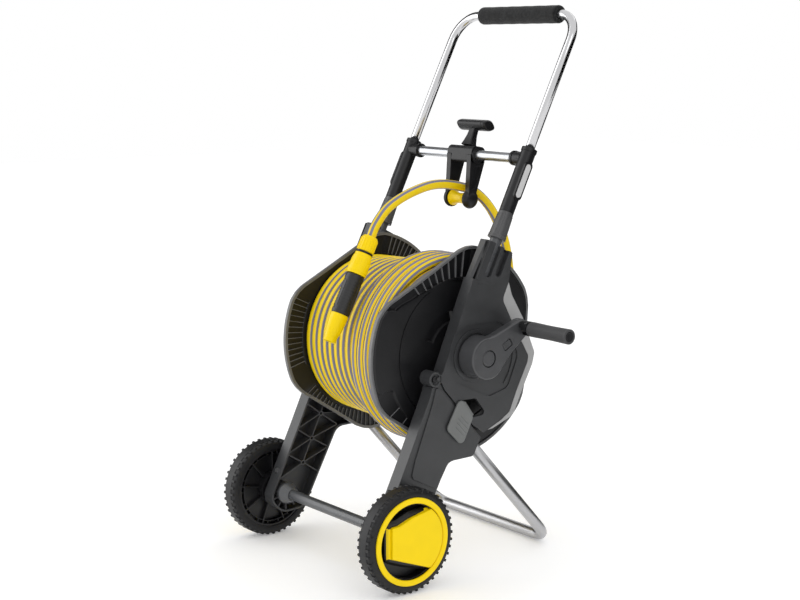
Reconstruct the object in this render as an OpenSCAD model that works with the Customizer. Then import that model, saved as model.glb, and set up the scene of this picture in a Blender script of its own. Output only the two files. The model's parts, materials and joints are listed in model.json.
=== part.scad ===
// Garden hose reel cart with a folding frame, a telescopic handle and a hose guide.
// X runs across the cart (the crank is on +X), Y runs from front to back, Z is up.
// Everything is drawn from the cart's own point: middle plane, wheel axle line, floor.
// place() then moves it to the centre of the whole cart's footprint.

/* [Wheels] */
// Radius of a wheel over the tyre
wheel_r = 86; // [80:1:92]
// Width over both wheels
track_w = 434; // [430:1:440]
// Width of a tyre
tyre_w = 34; // [30:1:35]
// Radius of the axle rod
axle_r = 5; // [4:0.5:6]

/* [Frame] */
// Distance of the leg's inner face from the middle plane
leg_in = 142; // [141:0.5:143]
// Thickness of a leg
leg_t = 25; // [24:0.5:26]
// Thickness of a side panel
panel_t = 24; // [23:0.5:24.5]
// Radius of the stand tube
stand_r = 9.5; // [8:0.25:9.5]
// How far behind the axle the stand meets the floor
stand_y = 350; // [330:5:360]

/* [Handle] */
// Lean of the handle from the vertical, in degrees
lean = 26.4; // [26:0.1:27]
// Radius of the sliding handle tube
handle_r = 8; // [7:0.25:8]
// Height of the handle's top above the floor
cart_h = 928; // [900:1:940]
// Radius of the foam grip
foam_r = 15.5; // [13:0.5:18]
// Travel of the telescopic handle
handle_travel = 170; // [100:10:170]

/* [Drum] */
// Largest radius of a flange
flange_r = 178; // [172:1:179]
// Distance of a flange's two lower flats from the drum axis
flange_flat = 156; // [150:1:160]
// Distance of its upper front flat, which the hose leaves over
flange_top = 147; // [142:1:156]
// Radius of the drum's core
core_r = 105; // [90:1:110]
// Inner width between the flanges
drum_w = 236; // [230:1:238]

/* [Hose] */
// Outer radius of the hose
hose_r = 8.25; // [7:0.25:8.5]
// Outer radius of the upper layer of turns
winding_r = 162.3; // [155:0.1:162.4]

/* [Crank] */
// Distance from the drum axis to the grip's pivot
crank_throw = 85; // [80:1:90]
// Lift of the crank arm above the horizontal, in degrees
crank_angle = 31; // [0:1:45]
// Length of the crank grip
grip_len = 91; // [80:1:100]

/* [Hidden] */
$fn = 64;

// small gap between fixed neighbours, between moving ones, and at a running fit
gap = 0.05;
play = 0.3;
fit = 0.08;

// heights and planes that the parts share
leg_out = leg_in + leg_t;
panel_in = leg_in + 4;
panel_out = panel_in + panel_t;
tube_x = 154;
wheel_out = track_w / 2;
tyre_in = wheel_out - 3 - tyre_w;
hinge = [83, 329];
drum_c = [164, 359];
hinge_split = 150;
hinge_in = 143;
knuckle_r = 12.5;

// the handle's own frame starts at this point and runs up the leaning tubes
handle_0 = [201, 500];
cross_s = 194;
cross_r = 8.5;
collar_s = [50, 98];
sleeve_top = 212;
sleeve_r = 12.5;
lower_tube_r = 10;
lower_tube_s = [-56, 120];
bar_s = (cart_h - foam_r - handle_0[1]) / cos(lean);
handle_foot = 150;
handle_bend = 48;
bore_r = handle_r + play;

flange_t = 7;
flange_in = drum_w / 2;
shaft_r = 12;
arm_x = [191, 207];
grip_x = 220;
grip_r = 12.4;
grip_start = 6.2;
roller_c = [276, 598];
roller_half = 19.5;
waist_r = 9;

// middle of the whole cart's footprint, and the height range starts at the floor
grip_end = grip_x + grip_start + grip_len;
mid_x = (grip_end - wheel_out) / 2;
handle_back = handle_0[0] + bar_s * sin(lean) + foam_r;
mid_y = (handle_back - wheel_r) / 2;

// outlines in the side view are lists of [y, z, corner radius]
leg_outline = [
    [95, 321, 2], [101, 309, 4], [121, 287, 3], [160, 243, 3], [182, 218.5, 2],
    [166, 189, 8], [111, 188, 22], [56, 84, 16], [40, 53, 22], [-8, 50, 30],
    [-34, 76, 22], [27, 201, 40], [74, 301, 4], [83, 329, 2]
];
panel_outline = [
    [95.5, 322, 2], [101.7, 310, 4], [121.7, 288, 3], [160.7, 244, 3], [185, 226.5, 3],
    [222, 242, 10], [242, 254, 10], [257, 288, 12], [281, 334, 8], [283, 345, 8],
    [245, 408, 20], [224, 446, 14], [238, 475, 16], [245.5, 522, 7], [194.5, 548, 3],
    [162, 489, 30], [97, 337, 12], [83, 329, 2]
];
trim_outline = [
    [236, 477, 1], [221.6, 446, 14], [242.6, 408, 20], [280.6, 345, 8], [278.6, 334, 8],
    [254.6, 290, 12], [240.6, 257, 10], [220.3, 245, 10], [187, 229.5, 1],
    [204, 231, 6], [243, 245, 14], [252, 252, 10], [266, 281, 12], [292, 330, 12],
    [297, 349, 10], [270, 410, 20], [244, 452, 14]
];
recess_outline = [[132, 288, 2], [168, 287, 6], [192, 257, 6], [157, 255.5, 2]];
latch_outline = [[133, 296, 7], [160, 258, 7], [136, 211, 7], [103, 244, 7]];
tongue_outline = [[137, 285, 1], [145, 285, 1], [164, 259, 1], [156, 259, 1]];
dish_outline = [
    [112, 392, 16], [150, 412, 20], [224, 410, 24], [261, 350, 20], [238, 296, 20],
    [196, 286, 20], [118, 322, 20]
];

// ribs inside a leg: a row of bosses up its middle, joined to both edges
rib_nodes = [[37, 134], [56, 175], [76, 217], [96, 262]];
rib_front = [[-18, 110], [4, 154], [25, 196], [46, 240], [68, 287]];
rib_rear = [[70, 112], [92, 154], [112, 192], [150, 212], [136, 258]];

// route of the free end of the hose, from the winding over the guide's roller
hose_route = [
    [63, 312.5, 273.2], [63, 325.5, 300.3], [63, 333, 329], [63, 335.8, 359], [63.5, 336.3, 390],
    [65, 335.5, 430], [63, 333.5, 474], [56, 332, 513], [44, 329.5, 545], [27, 323.5, 576.5],
    [13, 311.5, 599], [4, 296, 612], [1, 276, 617.8], [1, 262, 620.8], [1, 234, 624.5],
    [3, 205, 624], [7, 172, 618], [13, 134, 607], [20, 98, 591], [27, 70, 567], [30, 58, 549]
];
hose_sides = 12;
// the couplings follow on one line from the route's last point
spray_dir = [0, -0.46, -0.888];

// ---- helpers -------------------------------------------------------------
function unit(v) = v / norm(v);
function turn(a, b) = let (d = b - a) d > 180 ? d - 360 : d < -180 ? d + 360 : d;
function corner(a, p, b, r, n = 5) =
    let (u = unit(a - p), v = unit(b - p), half = acos(max(-1, min(1, u * v))) / 2,
         t = r / tan(half), c = p + unit(u + v) * r / sin(half),
         s = p + u * t - c, e = p + v * t - c,
         a0 = atan2(s[1], s[0]), sweep = turn(a0, atan2(e[1], e[0])))
    [for (i = [0:n]) c + r * [cos(a0 + sweep * i / n), sin(a0 + sweep * i / n)]];
function rounded(pts) = [for (i = [0:len(pts) - 1])
    let (m = len(pts), a = pts[(i + m - 1) % m], p = pts[i], b = pts[(i + 1) % m])
    each corner([a[0], a[1]], [p[0], p[1]], [b[0], b[1]], p[2])];
// the same outline moved inwards by d, for one drawn clockwise or anticlockwise
function area(pts) = let (m = len(pts))
    [for (i = 0, s = 0; i < m; s = s + pts[i][0] * pts[(i + 1) % m][1]
        - pts[(i + 1) % m][0] * pts[i][1], i = i + 1) s][m - 1] / 2;
function inward(a, b, way) = let (d = unit([b[0] - a[0], b[1] - a[1]])) way * [-d[1], d[0]];
function inset(pts, d) =
    let (m = len(pts), way = area(pts) > 0 ? 1 : -1)
    [for (i = [0:m - 1])
        let (p = pts[i], n1 = inward(pts[(i + m - 1) % m], p, way),
             n2 = inward(p, pts[(i + 1) % m], way), q = [p[0], p[1]] + d * (n1 + n2) / (1 + n1 * n2))
        [q[0], q[1], max(0.4, p[2] - d)]];

// an outline in the side view, given thickness from x0 to x1
module across(x0, x1) translate([x0, 0, 0]) rotate([90, 0, 90]) linear_extrude(x1 - x0) children();
// a round bar along X
module rod(r, x0, x1, at) translate([x0, at[0], at[1]]) rotate([0, 90, 0]) cylinder(r = r, h = x1 - x0);
// a straight rib of width w in the side view
module strip(p, q, w) {
    n = unit([p[1] - q[1], q[0] - p[0]]) * w / 2;
    polygon([p + n, q + n, q - n, p - n]);
}
module on_side(side) if (side > 0) children(); else mirror([1, 0, 0]) children();
module place() translate([-mid_x, -mid_y, 0]) children();
module in_handle() translate([0, handle_0[0], handle_0[1]]) rotate([-lean, 0, 0]) children();
module at_drum() translate([0, drum_c[0], drum_c[1]]) rotate([0, 90, 0]) children();
module at_crank() translate([0, drum_c[0], drum_c[1]]) rotate([crank_angle, 0, 0]) children();
// a slot with round ends in the side view, along the handle
module slot_bar(w, s0, s1) hull() for (s = [s0, s1]) translate([0, s]) circle(d = w);

// a bent tube: two legs of the given length and a cross piece, in the XZ plane
module bent(r, half, bend, leg) {
    translate([-(half - bend), 0, 0]) rotate([0, 90, 0]) cylinder(r = r, h = 2 * (half - bend));
    for (s = [-1, 1]) {
        translate([s * (half - bend), 0, bend]) rotate([90, 0, 0])
            rotate([0, 0, s > 0 ? -90 : 180]) rotate_extrude(angle = 90) translate([bend, 0]) circle(r = r);
        translate([s * half, 0, bend]) cylinder(r = r, h = leg - bend);
    }
}
module bent_tube(r, wall, half, bend, leg) difference() {
    bent(r, half, bend, leg);
    bent(r - wall, half, bend, leg + 1);
}

// ---- undercarriage -------------------------------------------------------
module axle_rod() color("silver") rod(axle_r, -wheel_out + 8, wheel_out - 8, [0, wheel_r]);

module axle_tube() color([0.28, 0.29, 0.3]) difference() {
    rod(9.2, -leg_in + 6, leg_in - 6, [0, wheel_r]);
    rod(axle_r + fit, -leg_in, leg_in, [0, wheel_r]);
}

module axle_collar(side) color([0.3, 0.3, 0.31]) on_side(side) difference() {
    union() {
        translate([leg_in - 22, 0, wheel_r]) rotate([0, 90, 0]) cylinder(r1 = 11.5, r2 = 19, h = 16);
        rod(19, leg_in - 6, leg_in - gap, [0, wheel_r]);
    }
    rod(9.2 + gap, leg_in - 30, leg_in - 6 + gap, [0, wheel_r]);
    rod(axle_r + fit, leg_in - 30, leg_in + 1, [0, wheel_r]);
}

module axle_clips() color("silver") for (s = [-1, 1]) on_side(s) difference() {
    rod(9, wheel_out - 10.5, wheel_out - 9, [0, wheel_r]);
    rod(axle_r + gap, wheel_out - 12, wheel_out, [0, wheel_r]);
}

stand_tilt = atan2(stand_y - 177, 199 - stand_r);
stand_leg = norm([stand_y - 133, 247.2 - stand_r]);
module in_stand() translate([0, stand_y, stand_r]) rotate([stand_tilt, 0, 0]) children();

module leg(side) color([0.25, 0.25, 0.26]) on_side(side) difference() {
    union() {
        across(leg_out - 4, leg_out) polygon(rounded(leg_outline));
        across(leg_in, leg_out - 4) difference() {
            polygon(rounded(leg_outline));
            polygon(rounded(inset(leg_outline, 3.5)));
        }
        // ribs and their little bosses
        across(leg_in + 3, leg_out - 4) intersection() {
            union() {
                for (i = [0:3]) {
                    for (p = [rib_front[i], rib_front[i + 1], rib_rear[i], rib_rear[i + 1]])
                        strip(rib_nodes[i], p, 2.2);
                    if (i < 3) strip(rib_nodes[i], rib_nodes[i + 1], 2.2);
                    translate(rib_nodes[i]) circle(r = 5);
                }
                translate([0, wheel_r]) circle(r = 16);
            }
            polygon(rounded(leg_outline));
        }
        rod(14, leg_out - 1, tyre_in - 4.5, [0, wheel_r]);
        // knuckle of the folding hinge
        rod(knuckle_r, hinge_in, hinge_split - play, hinge);
        across(leg_in, hinge_split - play) polygon([[83, 329], [95, 321], [90, 300], [74, 301]]);
        // socket block for the stand
        across(leg_in, leg_out - 4) intersection() {
            polygon([[176, 208], [160, 196], [124, 236], [118, 252], [140, 262], [182, 216]]);
            polygon(rounded(leg_outline));
        }
    }
    for (p = rib_nodes) rod(2, leg_in - 1, leg_out - 6, p);
    rod(axle_r + gap, leg_in - 30, tyre_in, [0, wheel_r]);
    rod(5.05, hinge_in - 1, hinge_split, hinge);
    rod(knuckle_r + 0.8, hinge_split - play, leg_out + 1, hinge);
    in_stand() translate([tube_x, 0, 60]) cylinder(r = stand_r + gap, h = stand_leg - 60 + gap);
}

// one screw in the front edge of each leg, square to that edge
module leg_screws() color("silver") for (s = [-1, 1]) on_side(s)
    translate([leg_in + leg_t / 2, -10.2, 125]) rotate([64, 0, 0]) cylinder(r = 4.5, h = 1.8);

module stand_tube() color([0.72, 0.72, 0.73]) in_stand() bent_tube(stand_r, 1.5, tube_x, 34, stand_leg);

module hinge_pins() color("silver") for (s = [-1, 1]) on_side(s)
    rod(5, hinge_in + 1, panel_out - 2, hinge);

// ---- wheels ----------------------------------------------------------------
module wheel_rim(side) color([0.1, 0.1, 0.11]) on_side(side) difference() {
    union() {
        rod(14, tyre_in - 4, wheel_out - 11, [0, wheel_r]);
        rod(67, tyre_in + 12, tyre_in + 16, [0, wheel_r]);
        difference() {
            rod(70, tyre_in + 3, wheel_out - 4, [0, wheel_r]);
            rod(66, tyre_in, wheel_out, [0, wheel_r]);
        }
        for (a = [0:40:320]) translate([tyre_in + 3, 0, wheel_r]) rotate([a, 0, 0])
            translate([0, -1.2, 12]) cube([12, 2.4, 56]);
    }
    rod(axle_r + fit, tyre_in - 8, wheel_out, [0, wheel_r]);
}

module wheel_tyre(side) color([0.09, 0.09, 0.09]) on_side(side)
    translate([tyre_in, 0, wheel_r]) rotate([0, 90, 0]) rotate_extrude($fn = 96) polygon([
        [70 + gap, 2], [78, 0], [84, 4], [wheel_r, 9], [wheel_r, tyre_w - 9],
        [84, tyre_w - 3], [76, tyre_w], [71.6, tyre_w], [71.6, tyre_w - 1], [70 + gap, tyre_w - 1]]);

module wheel_cover(side) color([0.96, 0.84, 0.05]) on_side(side) {
    difference() {
        rod(71.5, wheel_out - 4 + gap, wheel_out, [0, wheel_r]);
        rod(62, wheel_out - 6, wheel_out + 1, [0, wheel_r]);
    }
    across(wheel_out - 4 + gap, wheel_out - 0.5) intersection() {
        translate([0, wheel_r]) circle(r = 63);
        polygon([[70, wheel_r + 60], [40, wheel_r + 50], [-2, wheel_r + 40], [-26, wheel_r + 31],
                 [-41, wheel_r + 30], [-41, wheel_r - 21], [36, wheel_r - 50], [70, wheel_r - 60]]);
    }
}

// ---- side panels -------------------------------------------------------------
module side_panel(side) color([0.27, 0.27, 0.28]) on_side(side) difference() {
    union() {
        across(panel_out - 4.5, panel_out) polygon(rounded(panel_outline));
        across(panel_in, panel_out - 4.5) difference() {
            polygon(rounded(panel_outline));
            polygon(rounded(inset(panel_outline, 4)));
        }
        // block round the handle's socket
        across(tube_x - 11.5, panel_out - 4.5) intersection() {
            polygon([[150, 440], [196, 430], [250, 520], [195, 549]]);
            polygon(rounded(panel_outline));
        }
        rod(24, panel_in, panel_out - 4, drum_c);
        rod(knuckle_r, hinge_split, panel_out - 1, hinge);
        across(hinge_split, panel_out - 4) polygon([[83, 329], [94, 340], [108, 344], [104, 316], [95.5, 322]]);
    }
    across(panel_out - 1.5, panel_out + 1) polygon(rounded(dish_outline));
    across(panel_out - 9, panel_out + 1) polygon(rounded(recess_outline));
    rod(16 + gap, panel_in - 1, panel_out + 1, drum_c);
    rod(5.05, hinge_split - 1, panel_out - 2, hinge);
    rod(knuckle_r + 0.8, panel_in - 1, hinge_split, hinge);
    in_handle() translate([tube_x, 0, lower_tube_s[0] - gap]) cylinder(r = lower_tube_r + gap, h = 120);
    // chamfers down the socket's two front corners
    in_handle() for (c = [[172, 158], [139, 152]]) translate([0, 0, -30]) linear_extrude(100)
        polygon([[c[0], -15], [c[0], -32], [c[1], -32]]);
    // two flutes in the socket's outer face
    in_handle() for (y = [-7, 7]) translate([panel_out - 4, y - 4, -12]) cube([6, 8, 70]);
}

module trim(side) color([0.62, 0.62, 0.62]) on_side(side)
    across(panel_in + 9, panel_out + 0.8) difference() {
        polygon(rounded(trim_outline));
        polygon(rounded(inset(panel_outline, -gap)));
    }

module latch(side) color([0.45, 0.455, 0.455]) on_side(side) {
    across(panel_out + play, panel_out + 4) polygon(rounded(latch_outline));
    across(panel_out - 7, panel_out + play) polygon(rounded(tongue_outline));
    for (i = [0:3]) across(panel_out + 4, panel_out + 4.8)
        strip([128 + i * 5, 244 - i * 9 + 12], [141 + i * 5, 226 - i * 9 + 15], 2.4);
}

// ---- handle --------------------------------------------------------------------
module lower_tube(side) color([0.2, 0.2, 0.21]) in_handle() translate([side * tube_x, 0, 0]) difference() {
    translate([0, 0, lower_tube_s[0]]) cylinder(r = lower_tube_r, h = lower_tube_s[1] - lower_tube_s[0]);
    translate([0, 0, lower_tube_s[0] - 1]) cylinder(r = bore_r, h = lower_tube_s[1] - lower_tube_s[0] + 2);
}

module tube_collar(side) color([0.4, 0.4, 0.41]) in_handle() translate([side * tube_x, 0, 0]) difference() {
    union() {
        translate([0, 0, collar_s[0]]) cylinder(r1 = 15, r2 = 12.5, h = collar_s[1] - collar_s[0] - gap);
        translate([0, 0, collar_s[0]]) cylinder(r = 15.6, h = 6);
        for (a = [0:30:330]) rotate([0, 0, a]) translate([11.8, -1, collar_s[0] + 8]) cube([1.9, 2, 34]);
    }
    translate([0, 0, collar_s[0] - 1]) cylinder(r = lower_tube_r + gap, h = 60);
}

module sleeve(side) color([0.17, 0.17, 0.18]) on_side(side) in_handle() difference() {
    union() {
        translate([tube_x, 0, collar_s[1]]) cylinder(r = sleeve_r, h = sleeve_top - collar_s[1]);
        translate([tube_x, 0, sleeve_top - 6]) cylinder(r = sleeve_r + 1, h = 6);
        translate([124, 0, cross_s]) rotate([0, 90, 0]) cylinder(r = 11.5, h = 24);
        translate([124, 0, cross_s]) rotate([0, 90, 0]) cylinder(r = 12.6, h = 5);
        translate([tube_x + 6, 0, 0]) rotate([90, 0, 90]) linear_extrude(7.4) slot_bar(17, 129, 181);
    }
    translate([tube_x, 0, lower_tube_s[1] + gap]) cylinder(r = bore_r, h = 100);
    translate([tube_x, 0, collar_s[1] - 1]) cylinder(r = lower_tube_r + gap, h = lower_tube_s[1] - collar_s[1] + 1 + gap);
    translate([0, 0, cross_s]) rotate([0, 90, 0]) cylinder(r = cross_r + gap, h = leg_in + 0.5 + gap);
    translate([tube_x + 8.8, 0, 0]) rotate([90, 0, 90]) linear_extrude(10) slot_bar(12, 131, 179);
}

module release_button(side) color([0.75, 0.75, 0.75]) on_side(side) in_handle()
    translate([tube_x + 11, 0, 0]) rotate([90, 0, 90]) linear_extrude(3.4) slot_bar(11.4, 131, 179);

module crossbar() color([0.55, 0.56, 0.57]) in_handle() translate([-leg_in - 0.5, 0, cross_s]) rotate([0, 90, 0])
    difference() {
        cylinder(r = cross_r, h = 2 * leg_in + 1);
        translate([0, 0, -1]) cylinder(r = cross_r - 1.2, h = 2 * leg_in + 3);
    }

module handle_tube() color([0.8, 0.8, 0.82]) in_handle() translate([0, 0, bar_s]) mirror([0, 0, 1])
    bent_tube(handle_r, 1.2, tube_x, handle_bend, bar_s - handle_foot);

module foam_grip() color([0.13, 0.14, 0.14]) in_handle() translate([-94, 0, bar_s]) rotate([0, 90, 0])
    difference() {
        union() {
            translate([0, 0, 2]) cylinder(r = foam_r, h = 196);
            cylinder(r = foam_r - 2, h = 200);
        }
        translate([0, 0, -1]) cylinder(r = handle_r + gap, h = 202);
    }

// ---- hose guide ------------------------------------------------------------------
cross_c = [handle_0[0] + cross_s * sin(lean), handle_0[1] + cross_s * cos(lean)];

module guide_bush() color([0.2, 0.2, 0.2]) difference() {
    union() {
        rod(11, -34, 34, cross_c);
        rod(14, -34, -31, cross_c);
        rod(14, 31, 34, cross_c);
    }
    rod(cross_r + fit, -40, 40, cross_c);
}

module guide_fork() color([0.2, 0.2, 0.21]) difference() {
    union() {
        rod(17, -30, 30, cross_c);
        for (x = [-32, 21]) {
            across(x, x + 11) polygon([
                cross_c + [-16, 4], cross_c + [13, 6], cross_c + [16, -10], roller_c + [9, 8],
                roller_c + [-9, 8]]);
            rod(14, x, x + 11, roller_c);
        }
    }
    rod(11 + play, -40, 40, cross_c);
    for (x = [-40, 30.7]) rod(14.6, x, x + 9.3, cross_c);
    rod(3 + gap, -40, 40, roller_c);
}

module guide_handle() color([0.2, 0.2, 0.21]) translate([0, cross_c[0], cross_c[1]]) rotate([-lean + 3, 0, 0]) {
    translate([0, 0, 17.2]) difference() {
        translate([-11, -9, -1]) cube([22, 18, 29]);
        translate([-20, 0, -17.2]) rotate([0, 90, 0]) cylinder(r = 17 + gap, h = 40);
    }
    translate([-37, 0, 54]) rotate([0, 90, 0]) linear_extrude(74) polygon([for (a = [0:12:348])
        [9.5 * cos(a), 14 * sin(a)]]);
}

module guide_roller() color([0.96, 0.84, 0.05]) translate([-roller_half, roller_c[0], roller_c[1]])
    rotate([0, 90, 0]) difference() {
        rotate_extrude() polygon(concat([[0, 0]], [for (i = [0:12]) let (x = 2 * roller_half * i / 12)
            [waist_r + 5 * pow((x - roller_half) / roller_half, 2), x]], [[0, 2 * roller_half]]));
        translate([0, 0, -1]) cylinder(r = 3 + fit, h = 2 * roller_half + 2);
    }

module roller_pin() color("silver") rod(3, -31, 31, roller_c);

// ---- drum ---------------------------------------------------------------------------
// each flange is a circle cut by three flats, with its corners rounded
flats = [[117, flange_top], [237, flange_flat], [357, flange_flat]];
corner_soft = 5;
function flange_ray(a) = min(concat([flange_r],
    [for (q = flats) let (off = abs(turn(q[0], a))) off < 80 ? q[1] / cos(off) : flange_r]));
function flange_edge(d) = [for (a = [0:4:356])
    let (m = (flange_ray(a - corner_soft) + flange_ray(a) + flange_ray(a + corner_soft)) / 3)
    (m - d) * [cos(a), sin(a)]];

module drum_core() color([0.14, 0.14, 0.15]) at_drum() difference() {
    union() {
        translate([0, 0, -flange_in]) cylinder(r = core_r, h = drum_w);
    }
    translate([0, 0, -flange_in - 1]) cylinder(r = core_r - 4, h = drum_w + 2);
}

module flange(side) color([0.13, 0.13, 0.14]) on_side(side) difference() {
    union() {
        across(flange_in + gap, flange_in + 3) translate(drum_c) polygon(flange_edge(0));
        across(flange_in + 3, flange_in + flange_t) translate(drum_c) difference() {
            polygon(flange_edge(0));
            polygon(flange_edge(3.5));
        }
        for (a = [0:20:340]) translate([flange_in + 2, drum_c[0], drum_c[1]]) rotate([a, 0, 0])
            translate([0, -1.2, 30]) cube([flange_t - 3, 2.4, 112]);
        rod(34, flange_in + 2, flange_in + 10, drum_c);
        rod(core_r - 4 - gap, flange_in - 8, flange_in + 1, drum_c);
    }
    rod(shaft_r + gap, flange_in - 20, flange_in + 20, drum_c);
}

module drum_shaft() color([0.5, 0.5, 0.5]) difference() {
    rod(shaft_r, -155, arm_x[1] - 11, drum_c);
    rod(8 + fit, -156, -100, drum_c);
}

module bush(side) color([0.85, 0.85, 0.82]) on_side(side) difference() {
    union() {
        rod(16, panel_in - 4, panel_out - 3, drum_c);
        rod(21, panel_in - 6, panel_in - gap, drum_c);
    }
    rod(shaft_r + fit, panel_in - 20, panel_out + 20, drum_c);
}

module hose_winding() color([0.95, 0.83, 0.08]) at_drum() difference() {
    rotate_extrude($fn = 96) polygon([
        [core_r + gap, -flange_in + play], [139.5, -flange_in + play], [147, 41],
        [winding_r, 42], [winding_r, 111], [154, flange_in - play], [core_r + gap, flange_in - play]]);
}

// ---- crank ---------------------------------------------------------------------------
tongue_r = 5.6;
tongue_t = 8;
button_c = [43.5, -4];
arm_outline = [
    [6, -34.4, 1], [42, -23, 20], [85, -17, 4], [95, -12, 8], [98, 0, 8], [95, 11, 8],
    [85, 15, 4], [30, 25, 30], [6, 34.4, 1]
];

module crank_arm() color([0.2, 0.2, 0.21]) at_crank() difference() {
    union() {
        rotate([0, 90, 0]) translate([0, 0, panel_out + 1]) cylinder(r = 35, h = arm_x[1] - panel_out - 1);
        across(arm_x[0], arm_x[1]) polygon(rounded(arm_outline));
        // tongue that the folding grip turns on
        translate([arm_x[1] - 2, crank_throw - tongue_r, -tongue_t / 2])
            cube([grip_x - arm_x[1] + 2, 2 * tongue_r, tongue_t]);
        translate([grip_x, crank_throw, -tongue_t / 2]) cylinder(r = tongue_r, h = tongue_t);
    }
    rotate([0, 90, 0]) translate([0, 0, panel_out]) cylinder(r = shaft_r + gap, h = arm_x[1] - 11 - panel_out + gap);
    rotate([0, 90, 0]) translate([0, 0, arm_x[1] - 6]) cylinder(r = 14.3, h = 20);
    translate([grip_x, crank_throw, -20]) cylinder(r = 3 + fit, h = 40);
    translate([arm_x[1] - 7, button_c[0] - 10, button_c[1] - 7]) cube([12, 20, 14]);
}

module crank_cap() color([0.16, 0.16, 0.17]) at_crank() rotate([0, 90, 0]) translate([0, 0, arm_x[1] - 6 + gap])
    cylinder(r = 14.2, h = 5.8);

module crank_button() color([0.24, 0.24, 0.25]) at_crank()
    translate([arm_x[1] - 4.6, button_c[0] - 10 + play, button_c[1] - 7 + play])
        cube([4.8, 20 - 2 * play, 14 - 2 * play]);

// a fork that straddles the tongue, with the spindle that the grip turns on
module grip_spindle() color([0.16, 0.16, 0.17]) at_crank() translate([grip_x, crank_throw, 0]) difference() {
    union() {
        intersection() {
            translate([-grip_r, 0, 0]) rotate([0, 90, 0]) cylinder(r = grip_r - 0.2, h = grip_r + grip_start);
            union() {
                translate([0, 0, -20]) cylinder(r = grip_r, h = 40);
                translate([0, -20, -20]) cube([20, 40, 40]);
            }
        }
        rotate([0, 90, 0]) cylinder(r = 4, h = grip_len + grip_start - 6);
    }
    translate([-20, -20, -tongue_t / 2 - play]) cube([20 + tongue_r + play, 40, tongue_t + 2 * play]);
    translate([0, 0, -20]) cylinder(r = 3 + gap, h = 40);
}

module grip_pin() color("silver") at_crank() translate([grip_x, crank_throw, -11]) cylinder(r = 3, h = 22);

module crank_grip() color([0.3, 0.3, 0.31]) at_crank()
    translate([grip_x + grip_start + play, crank_throw, 0]) rotate([0, 90, 0]) difference() {
        union() {
            cylinder(r1 = 11.4, r2 = grip_r, h = 3);
            translate([0, 0, 3]) cylinder(r = grip_r, h = grip_len - 6 - play);
            translate([0, 0, grip_len - 3 - play]) cylinder(r1 = grip_r, r2 = 11, h = 3);
        }
        translate([0, 0, -1]) cylinder(r = 4 + fit, h = grip_len - 5);
        translate([0, 0, grip_len - 5]) cylinder(r = 8.6, h = 6);
    }

module grip_cap() color([0.14, 0.14, 0.15]) at_crank()
    translate([grip_end - 4.4, crank_throw, 0]) rotate([0, 90, 0]) cylinder(r = 8.5, h = 3.9);

// ---- water inlet on the left side -----------------------------------------------------
module inlet_elbow() color([0.25, 0.25, 0.26]) {
    rod(8, -185, -110, drum_c);
    rod(14, -194, -panel_out - 1, drum_c);
    translate([-184, drum_c[0], drum_c[1]]) rotate([-135, 0, 0]) {
        cylinder(r = 10, h = 32);
        cylinder(r = 8, h = 60);
    }
}

// ---- free end of the hose ---------------------------------------------------------------
function route_dir(i) = unit(hose_route[min(i + 1, len(hose_route) - 1)] - hose_route[max(i - 1, 0)]);
function ring(i) = let (t = route_dir(i), u = unit([1, 0, 0] - t[0] * t), v = cross(t, u))
    [for (k = [0:hose_sides - 1]) let (a = 360 * k / hose_sides)
        hose_route[i] + hose_r * (cos(a) * u + sin(a) * v)];

module hose_free() color([0.95, 0.83, 0.08]) {
    m = len(hose_route);
    n = hose_sides;
    polyhedron(
        points = [for (i = [0:m - 1]) each ring(i)],
        faces = concat(
            [[for (k = [0:n - 1]) k]],
            [for (i = [0:m - 2]) for (k = [0:n - 1]) let (a = i * n + k, b = i * n + (k + 1) % n)
                each [[a, a + n, b + n], [a, b + n, b]]],
            [[for (k = [n - 1:-1:0]) (m - 1) * n + k]]));
}

// a turned piece on the spray line: profile of [radius, distance] from the hose's end
module on_spray() {
    p = hose_route[len(hose_route) - 1];
    translate(p) rotate([180 - acos(-spray_dir[2]), 0, 0]) children();
}
module turned(from, profile) on_spray() translate([0, 0, from]) rotate_extrude()
    polygon(concat([[0, profile[0][1]]], profile, [[0, profile[len(profile) - 1][1]]]));

module hose_nut() color([0.96, 0.84, 0.05])
    turned(gap, [[11.5, 0], [14, 3], [15, 12], [15, 26], [13, 31]]);
module hose_coupling() color([0.96, 0.84, 0.05]) {
    turned(31 + 2 * gap, [[14.6, 0], [14.6, 5], [15.5, 6], [17.5, 30], [17, 37]]);
}
module nozzle_barrel() color([0.16, 0.16, 0.17])
    turned(68 + 3 * gap, [[14, 0], [15.8, 3], [15.8, 66], [14.5, 70]]);
module nozzle_tip() color([0.96, 0.84, 0.05])
    turned(138 + 4 * gap, [[15, 0], [15.2, 12], [12.5, 34], [11, 36], [11, 48]]);

place() axle_rod();
place() axle_tube();
place() axle_collar(-1);  // axle_collar_left
place() axle_collar(1);  // axle_collar_right
place() axle_clips();
place() leg(-1);  // leg_left
place() leg(1);  // leg_right
place() leg_screws();
place() stand_tube();
place() hinge_pins();
place() wheel_rim(-1);  // wheel_left_rim
place() wheel_tyre(-1);  // wheel_left_tyre
place() wheel_cover(-1);  // wheel_left_cover
place() wheel_rim(1);  // wheel_right_rim
place() wheel_tyre(1);  // wheel_right_tyre
place() wheel_cover(1);  // wheel_right_cover
place() side_panel(-1);  // side_panel_left
place() side_panel(1);  // side_panel_right
place() trim(-1);  // trim_left
place() trim(1);  // trim_right
place() latch(-1);  // latch_left
place() latch(1);  // latch_right
place() lower_tube(-1);  // lower_tube_left
place() lower_tube(1);  // lower_tube_right
place() tube_collar(-1);  // tube_collar_left
place() tube_collar(1);  // tube_collar_right
place() sleeve(-1);  // sleeve_left
place() sleeve(1);  // sleeve_right
place() release_button(-1);  // release_button_left
place() release_button(1);  // release_button_right
place() crossbar();
place() handle_tube();
place() foam_grip();
place() guide_bush();
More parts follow.
